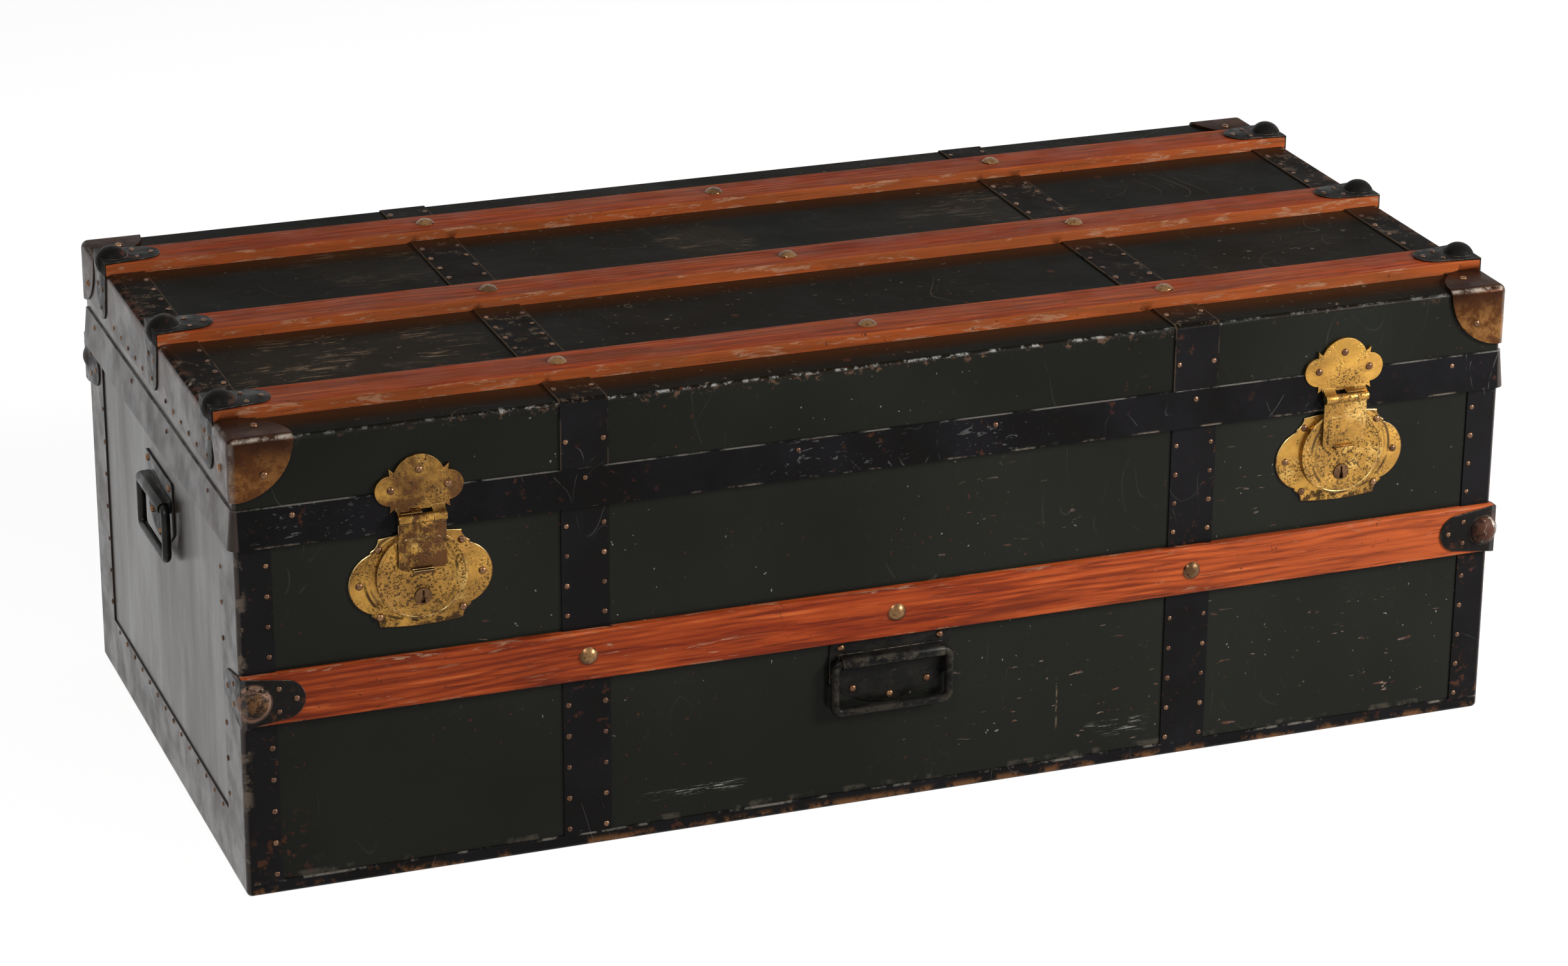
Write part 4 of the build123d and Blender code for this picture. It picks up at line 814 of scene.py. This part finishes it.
# a gloss of three numbers is for the front, the ends and the top
finishes = {
    "lidTop": sheetFinish("lid_top_paint", (0.10, 0.30, 0.004), "warm", lidTopMarks, 1.2, 0.8),
    "lidRim": sheetFinish("lid_rim_paint", (0.05, 0.28, 0.05), "green", lidRimMarks, 1.3),
    "bodyFront": sheetFinish("body_front_paint", (0.07, 0.36, 0.02), "green", frontSheetMarks, 0.9),
    "bodyEnds": sheetFinish("body_end_paint", (0.2, 0.24, 0.2), "green", endMarks, 0.7),
    "bodyUnder": sheetFinish("body_under_paint", 0.1, "warm", None, 1.0),
    "bands": bandFinish("body_band_enamel", (0.05, 0.26, 0.008), 0.15),
    "lidBands": bandFinish("lid_band_enamel", (0.05, 0.35, 0.004), 0.35, None, ((bandX, bandHalf),)),
    "endBands": bandFinish(
        "lid_end_band_enamel", (0.1, 0.25, 0.004), 0.35, endBandMarks, ((lidHigh.x, endBandWidth),)
    ),
    "valance": bandFinish("valance_enamel", (0.035, 0.26, 0.04), 0.30, valanceMarks),
    "foot": bandFinish("foot_band_enamel", (0.045, 0.24, 0.05), 0.2, footMarks),
    "corners": bandFinish("corner_band_enamel", (0.055, 0.26, 0.05), 0.35, cornerBandMarks),
    "frontSlat": woodFinish("front_slat_wood", frontSlatZ, 0.60, 0.0, 1.0, 0.09),
    "rearSlat": woodFinish("rear_slat_wood", rearSlatZ, 0.50, 0.3, 0.8, 0.09),
    "lidSlats": woodFinish("lid_slat_wood", None, 0.50, 0.34, 1.02, 0.012),
    "lockBrass": brassFinish("lock_brass_speckled", 1.0, 0.25, 0.55, True),
    "plateBrass": brassFinish("plate_brass", 0.5, 0.10, 0.55, True),
    "haspPlateBrass": brassFinish("hasp_plate_brass", 0.55, -0.2, 1.1),
    "haspBrass": brassFinish("hasp_brass", 0.65, 0.30, 2.2),
    "brassEdge": brassEdgeFinish("brass_edge"),
    "iron": ironFinish("clamp_iron_rusted"),
    "ironEdge": wornEdge("iron_edge", (0.012, 0.010, 0.008), (0.22, 0.17, 0.13), 0.8, 0.5),
    "cap": capFinish("cap_bronze"),
    "capEdge": wornEdge("cap_edge", (0.080, 0.045, 0.024), (0.40, 0.32, 0.22), 0.8, 0.8),
    "tacks": headFinish("tack_copper_dull", (0.070, 0.034, 0.020), (0.150, 0.080, 0.045)),
    "rivets": headFinish("rivet_copper", (0.100, 0.046, 0.022), (0.210, 0.105, 0.048)),
    "slatRivets": headFinish("slat_rivet_brown", (0.085, 0.042, 0.017), (0.200, 0.105, 0.042)),
    "handle": handleFinish("handle_lacquer"),
    "handleEdge": wornEdge("handle_edge", (0.007, 0.006, 0.005), (0.10, 0.08, 0.06), 0.6, 0.6, 0.08),
    "steel": steelFinish("plain_steel"),
    "plug": headFinish("plug_brown", (0.060, 0.028, 0.012), (0.130, 0.064, 0.026)),
    "pine": pineFinish("pine_boards"),
    "paper": paperFinish("lining_paper"),
}
print("finishes made")


# the finish that each CAD node wears
wear = {
    "lid_top_sheet": "lidTop", "lid_rim_sheets": "lidRim", "lid_cross_bands": "lidBands",
    "body_front_sheet": "bodyFront", "body_rear_sheet": "bodyFront",
    "body_end_sheets": "bodyEnds", "body_bottom_sheet": "bodyUnder",
    "lid_valance": "valance", "body_bottom_bands": "foot",
    "body_corner_bands": "corners", "lid_end_bands": "endBands",
    "key_plug_left": "plug", "key_plug_right": "plug",
}
bySlot = {
    "pine_board": "pine", "painted_sheet": "bodyUnder", "band_steel": "bands", "slat_wood": "lidSlats",
    "clamp_iron": "iron", "tack_copper": "tacks", "rivet_metal": "slatRivets", "lock_brass": "plateBrass",
    "cap_metal": "cap", "handle_steel": "handle", "bright_steel": "steel", "lining_paper": "paper",
}
for name, item in nodes.items():
    item.data.materials.clear()
    item.data.materials.append(finishes[wear.get(name, bySlot[slots[name]])])
print("nodes painted")


def settle(item, name, body, replaced, smoothTo=50):
    # turn the evaluated piece into a plain mesh that rides on its body
    mesh = bpy.data.meshes.new_from_object(item.evaluated_get(bpy.context.evaluated_depsgraph_get()))
    item.modifiers.clear()
    item.data = mesh
    mesh.shade_smooth()
    mesh.set_sharp_from_angle(angle=radians(smoothTo))
    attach(item, body)
    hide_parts(replaced)
    return item


def mergedCopy(name, flat=0.6):
    mesh = nodes[name].data.copy()
    shape = bmesh.new()
    shape.from_mesh(mesh)
    bmesh.ops.remove_doubles(shape, verts=shape.verts, dist=0.000002)
    bmesh.ops.dissolve_limit(shape, angle_limit=radians(flat), verts=shape.verts, edges=shape.edges)
    shape.to_mesh(mesh)
    shape.free()
    item = bpy.data.objects.new(name + "_finished", mesh)
    scene.collection.objects.link(item)
    return item


def roundedCopy(name, width, inner, rim=None, angle=40, segments=2, flat=0.6):
    item = mergedCopy(name, flat)
    if name == "hasp_plates":
        addHood(item, hood)
    item.data.materials.clear()
    item.data.materials.append(finishes[inner])
    bevel = item.modifiers.new("edges", "BEVEL")
    bevel.width = width
    bevel.segments = segments
    bevel.limit_method = "ANGLE"
    bevel.angle_limit = radians(angle)
    if rim:
        item.data.materials.append(finishes[rim])
        bevel.material = 1
    return settle(item, name, nodes[name]["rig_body"], name)


fittings = {
    "lock_plates": (0.0007, "plateBrass", "brassEdge"),
    "lock_covers": (0.0004, "lockBrass", "brassEdge"),
    "hasp_plates": (0.0006, "haspPlateBrass", "brassEdge"),
    "hasp_left": (0.0004, "haspBrass", "brassEdge"),
    "hasp_right": (0.0004, "haspBrass", "brassEdge"),
    "lid_corner_caps": (0.0005, "cap", "capEdge"),
    "body_slat_clamps": (0.0005, "iron", "ironEdge"),
    "lid_slat_clamps": (0.0005, "iron", "ironEdge"),
    "front_handle_plate": (0.0004, "handle", "handleEdge"),
    "left_handle_plate": (0.0004, "handle", "handleEdge"),
    "right_handle_plate": (0.0004, "handle", "handleEdge"),
}
hood = {
    "half": 0.0079,
    "rise": 0.0060,
    "clearance": 0.0005,
    "thickness": 0.0010,
    "start": 106,
    "sweep": 28,
    "turns": 4,
    "stand": 0.0016,
    "root": 0.0014,
}


def addHood(item, values):
    # the plate's middle runs down and curls a little way over the leaf's knuckle
    low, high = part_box("hasp_pins")
    axis = Vector((0, (low.y + high.y) / 2, (low.z + high.z) / 2))
    knuckle = (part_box("hasp_left")[1].z - axis.z) + values["clearance"]
    back = front - values["stand"]
    foot = (back, axis.z + values["rise"])
    top = (back, foot[1] + values["root"])
    curl = []
    for step in range(values["turns"] + 1):
        angle = radians(values["start"] - values["sweep"] * step / values["turns"])
        curl.append(angle)
    skin = knuckle + values["thickness"]
    outer = [(axis.y - skin * cosine(angle), axis.z + skin * sine(angle)) for angle in curl]
    inner = [(axis.y - knuckle * cosine(angle), axis.z + knuckle * sine(angle)) for angle in curl]
    section = [top] + outer + inner[::-1] + [foot]
    shape = bmesh.new()
    shape.from_mesh(item.data)
    for side in (-1, 1):
        rings = []
        for x in (side * lockX - values["half"], side * lockX + values["half"]):
            rings.append([shape.verts.new((x, y, z)) for y, z in section])
        near, far = rings
        faces = [shape.faces.new(near), shape.faces.new(far[::-1])]
        for k in range(len(section)):
            after = (k + 1) % len(section)
            faces.append(shape.faces.new([near[k], near[after], far[after], far[k]]))
        bmesh.ops.recalc_face_normals(shape, faces=faces)
    shape.to_mesh(item.data)
    shape.free()


for name, (width, inner, rim) in fittings.items():
    roundedCopy(name, width, inner, rim)
print("fittings rounded")


slats = {
    "step": 0.006,
    "bite": 0.0011,
    "waves": 34.0,
    "bow": 0.0004,
}


def wornSlat(name, outward, finish):
    item = mergedCopy(name, 0.5)
    shape = bmesh.new()
    shape.from_mesh(item.data)
    low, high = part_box(name)
    cuts = np.arange(low.x + slats["step"], high.x, slats["step"])
    for x in cuts:
        parts = shape.verts[:] + shape.edges[:] + shape.faces[:]
        bmesh.ops.bisect_plane(shape, geom=parts, plane_co=(x, 0, 0), plane_no=(1, 0, 0), dist=0.000001)
    axis = Vector(outward)
    top = max(v.co.dot(axis) for v in shape.verts)
    for vert in shape.verts:
        depth = top - vert.co.dot(axis)
        if depth < 0.0022:
            chip = noise.fractal(vert.co * slats["waves"] * 3, 0.9, 2.1, 4)
            wave = noise.noise(vert.co * slats["waves"] * 0.3)
            rim = min(1.0, depth / 0.0010)
            bite = slats["bow"] * (0.5 + 0.5 * wave) + slats["bite"] * rim * max(0.0, chip)
            vert.co -= axis * bite
    shape.to_mesh(item.data)
    shape.free()
    item.data.materials.clear()
    item.data.materials.append(finishes[finish])
    return settle(item, name, nodes[name]["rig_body"], name, 32)


wornSlat("body_front_slat", (0, -1, 0), "frontSlat")
wornSlat("body_rear_slat", (0, 1, 0), "rearSlat")
wornSlat("lid_slats", (0, 0, 1), "lidSlats")
print("slats worn")


def islands(name):
    # the separate solids of a node, each as its own list of points
    mesh = nodes[name].data
    count = len(mesh.vertices)
    points = np.empty(count * 3)
    mesh.vertices.foreach_get("co", points)
    points = points.reshape(-1, 3)
    unique, index = np.unique(np.round(points, 6), axis=0, return_inverse=True)
    parent = list(range(len(unique)))

    def root(i):
        while parent[i] != i:
            parent[i] = parent[parent[i]]
            i = parent[i]
        return i

    index = index.reshape(-1)
    for face in mesh.polygons:
        first, *others = [index[v] for v in face.vertices]
        for other in others:
            parent[root(other)] = root(first)
    groups = {}
    for i in range(len(unique)):
        groups.setdefault(root(i), []).append(unique[i])
    return [np.array(group) for group in groups.values()]


def headPlaces(name):
    # for each head: the middle of its flat base, its outward direction, radius and height
    places = []
    for points in islands(name):
        centre = points.mean(0)
        values, vectors = np.linalg.eigh(np.cov((points - centre).T))
        normal = vectors[:, 0]
        if normal.dot(centre - np.array(middle)) < 0:
            normal = -normal
        depth = (points - centre).dot(normal)
        base = points[depth < depth.min() + 0.00005]
        spot = base.mean(0)
        radius = np.linalg.norm(base - spot, axis=1).max()
        places.append((spot, normal, radius, depth.max() - depth.min()))
    return places


def makeHeadTree():
    tree = bpy.data.node_groups.new("driven_heads", "GeometryNodeTree")
    tree.is_modifier = True
    face = tree.interface
    sockets = {}
    face.new_socket("Geometry", in_out="INPUT", socket_type="NodeSocketGeometry")
    for label, kind, value in (
        ("Head Radius", "NodeSocketFloat", 0.0024),
        ("Head Height", "NodeSocketFloat", 0.0011),
        ("Tilt", "NodeSocketFloat", 0.12),
        ("Size Spread", "NodeSocketFloat", 0.12),
        ("Segments", "NodeSocketInt", 12),
        ("Seed", "NodeSocketInt", 1),
        ("Finish", "NodeSocketMaterial", None),
    ):
        socket = face.new_socket(label, in_out="INPUT", socket_type=kind)
        if value is not None:
            socket.default_value = value
        sockets[label] = socket.identifier
    face.new_socket("Geometry", in_out="OUTPUT", socket_type="NodeSocketGeometry")

    def add(kind, inputs=None, **settings):
        return addNode(tree, kind, inputs, **settings)

    given = add("NodeGroupInput").outputs
    ball = add("GeometryNodeMeshUVSphere", {"Segments": given["Segments"], "Rings": 8, "Radius": 1.0})
    # the lower half is pressed flat, so that the head sits on the metal
    axes = add("ShaderNodeSeparateXYZ", {0: add("GeometryNodeInputPosition").outputs[0]}).outputs
    flat = add("ShaderNodeMath", {0: axes["Z"], 1: -0.02}, operation="MAXIMUM")
    press = add("ShaderNodeCombineXYZ", {"X": axes["X"], "Y": axes["Y"], "Z": flat.outputs[0]})
    dome = add("GeometryNodeSetPosition", {"Geometry": ball.outputs["Mesh"], "Position": press.outputs[0]})
    radius, height = given["Head Radius"], given["Head Height"]
    scale = add("ShaderNodeCombineXYZ", {"X": radius, "Y": radius, "Z": height})
    sized = add("GeometryNodeTransform", {"Geometry": dome.outputs["Geometry"], "Scale": scale.outputs[0]})
    # each head leans a little its own way, and some are smaller
    outward = add("GeometryNodeInputNamedAttribute", {"Name": "outward"}, data_type="FLOAT_VECTOR")
    aim = add("FunctionNodeAlignRotationToVector", {"Vector": outward.outputs[0]}, axis="Z")
    spread = add("ShaderNodeVectorMath", {0: (1, 1, 0), "Scale": given["Tilt"]}, operation="SCALE").outputs[0]
    back = add("ShaderNodeVectorMath", {0: spread, "Scale": -1.0}, operation="SCALE").outputs[0]
    reach = {0: back, 1: spread, "Seed": given["Seed"]}
    lean = add("FunctionNodeRandomValue", reach, data_type="FLOAT_VECTOR")
    turn = add("FunctionNodeEulerToRotation", {0: lean.outputs[0]})
    both = {0: aim.outputs[0], 1: turn.outputs[0]}
    leaned = add("FunctionNodeRotateRotation", both, rotation_space="LOCAL")
    less = add("ShaderNodeMath", {0: 1.0, 1: given["Size Spread"]}, operation="SUBTRACT")
    reach = {2: less.outputs[0], 3: 1.0, "Seed": given["Seed"]}
    size = add("FunctionNodeRandomValue", reach, data_type="FLOAT")
    place = add("GeometryNodeInstanceOnPoints", {
        "Points": given["Geometry"],
        "Instance": sized.outputs["Geometry"],
        "Rotation": leaned.outputs[0],
        "Scale": size.outputs[1],
    })
    real = add("GeometryNodeRealizeInstances", {0: place.outputs[0]})
    coat = add("GeometryNodeSetMaterial", {"Geometry": real.outputs[0], "Material": given["Finish"]})
    add("NodeGroupOutput", {0: coat.outputs[0]})
    return tree, sockets


headTree, headSockets = makeHeadTree()
heads = {
    "body_tacks": {"Tilt": 0.16, "Size Spread": 0.22, "Segments": 12, "Seed": 3, "Finish": "tacks"},
    "lid_tacks": {"Tilt": 0.16, "Size Spread": 0.22, "Segments": 12, "Seed": 8, "Finish": "tacks"},
    "body_rivets": {"Tilt": 0.06, "Size Spread": 0.05, "Segments": 20, "Seed": 5, "Finish": "rivets"},
    "lid_rivets": {"Tilt": 0.06, "Size Spread": 0.05, "Segments": 20, "Seed": 11, "Finish": "rivets"},
}


def drivenHeads(name, values):
    places = headPlaces(name)
    mesh = bpy.data.meshes.new(name + "_points")
    mesh.from_pydata([tuple(spot) for spot, *_ in places], [], [])
    outward = mesh.attributes.new("outward", "FLOAT_VECTOR", "POINT")
    outward.data.foreach_set("vector", np.array([normal for _, normal, *_ in places]).ravel())
    item = bpy.data.objects.new(name + "_driven", mesh)
    scene.collection.objects.link(item)
    modifier = item.modifiers.new("heads", "NODES")
    modifier.node_group = headTree
    settings = dict(values)
    settings["Head Radius"] = float(np.median([place[2] for place in places]))
    settings["Head Height"] = float(np.median([place[3] for place in places]))
    settings["Finish"] = finishes[values["Finish"]]
    for label, value in settings.items():
        modifier[headSockets[label]] = value
    item.data.update()
    return settle(item, name, nodes[name]["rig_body"], name, 60)


for name, values in heads.items():
    drivenHeads(name, values)
print("tacks and rivets driven")


# round pieces keep their shape and get even shading
roundPieces = (
    "body_slat_rivets", "lid_slat_rivets",
    "front_handle_bail", "left_handle_bail", "right_handle_bail",
)
for name in roundPieces:
    item = mergedCopy(name, 0.1)
    item.data.materials.clear()
    item.data.materials.append(finishes[bySlot[slots[name]]])
    settle(item, name, nodes[name]["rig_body"], name, 45)
print("round pieces smoothed")


stage = {
    "floor": 12.0,
    "white": 0.50,
    "glow": 0.80,
    "ambient": 0.17,
}


def makeFloor(values):
    half = values["floor"]
    mesh = bpy.data.meshes.new("floor")
    corners = [(-half, -half, 0), (half, -half, 0), (half, half, 0), (-half, half, 0)]
    mesh.from_pydata(corners, [], [(0, 1, 2, 3)])
    item = bpy.data.objects.new("floor", mesh)
    scene.collection.objects.link(item)
    finish = bpy.data.materials.new("floor_white")
    finish.use_nodes = True
    tree = finish.node_tree
    surface = tree.nodes["Principled BSDF"]
    surface.inputs["Base Color"].default_value = (values["white"],) * 3 + (1.0,)
    surface.inputs["Roughness"].default_value = 0.9
    surface.inputs["Specular IOR Level"].default_value = 0.0
    surface.inputs["Emission Color"].default_value = (1, 1, 1, 1)
    tree.links.new(seen(tree, 0.0, values["glow"]), surface.inputs["Emission Strength"])
    mesh.materials.append(finish)


def seen(tree, other, straight):
    # one strength for what the camera, gloss and glass see, another for everything else
    rays = addNode(tree, "ShaderNodeLightPath").outputs
    direct = rays["Is Camera Ray"]
    for label in ("Is Glossy Ray", "Is Transmission Ray"):
        either = addNode(tree, "ShaderNodeMath", {0: direct, 1: rays[label]}, operation="MAXIMUM")
        direct = either.outputs[0]
    inputs = {"Value": direct, "To Min": other, "To Max": straight}
    return addNode(tree, "ShaderNodeMapRange", inputs).outputs[0]


def makeWorld(values):
    world = bpy.data.worlds.new("studio")
    scene.world = world
    world.use_nodes = True
    back = world.node_tree.nodes["Background"]
    back.inputs["Color"].default_value = (1, 1, 1, 1)
    world.node_tree.links.new(seen(world.node_tree, values["ambient"], 1.0), back.inputs["Strength"])


lamps = {
    "key": {"place": (-1.5, -2.0, 2.5), "aim": (0.0, 0.0, 0.15), "size": 0.6, "power": 38},
    "fill": {"place": (1.75, -1.45, 1.15), "aim": (0.3, -0.2, 0.15), "size": 0.7, "power": 78},
}


def makeLamp(name, values):
    data = bpy.data.lights.new(name, "AREA")
    data.shape = "SQUARE"
    data.size = values["size"]
    data.energy = values["power"]
    item = bpy.data.objects.new(name, data)
    item.location = values["place"]
    aim = Vector(values["aim"]) - Vector(values["place"])
    item.rotation_euler = aim.to_track_quat("-Z", "Y").to_euler()
    scene.collection.objects.link(item)


makeFloor(stage)
makeWorld(stage)
for name, values in lamps.items():
    makeLamp(name, values)
scene.view_settings.view_transform = "Standard"
print("stage lit")
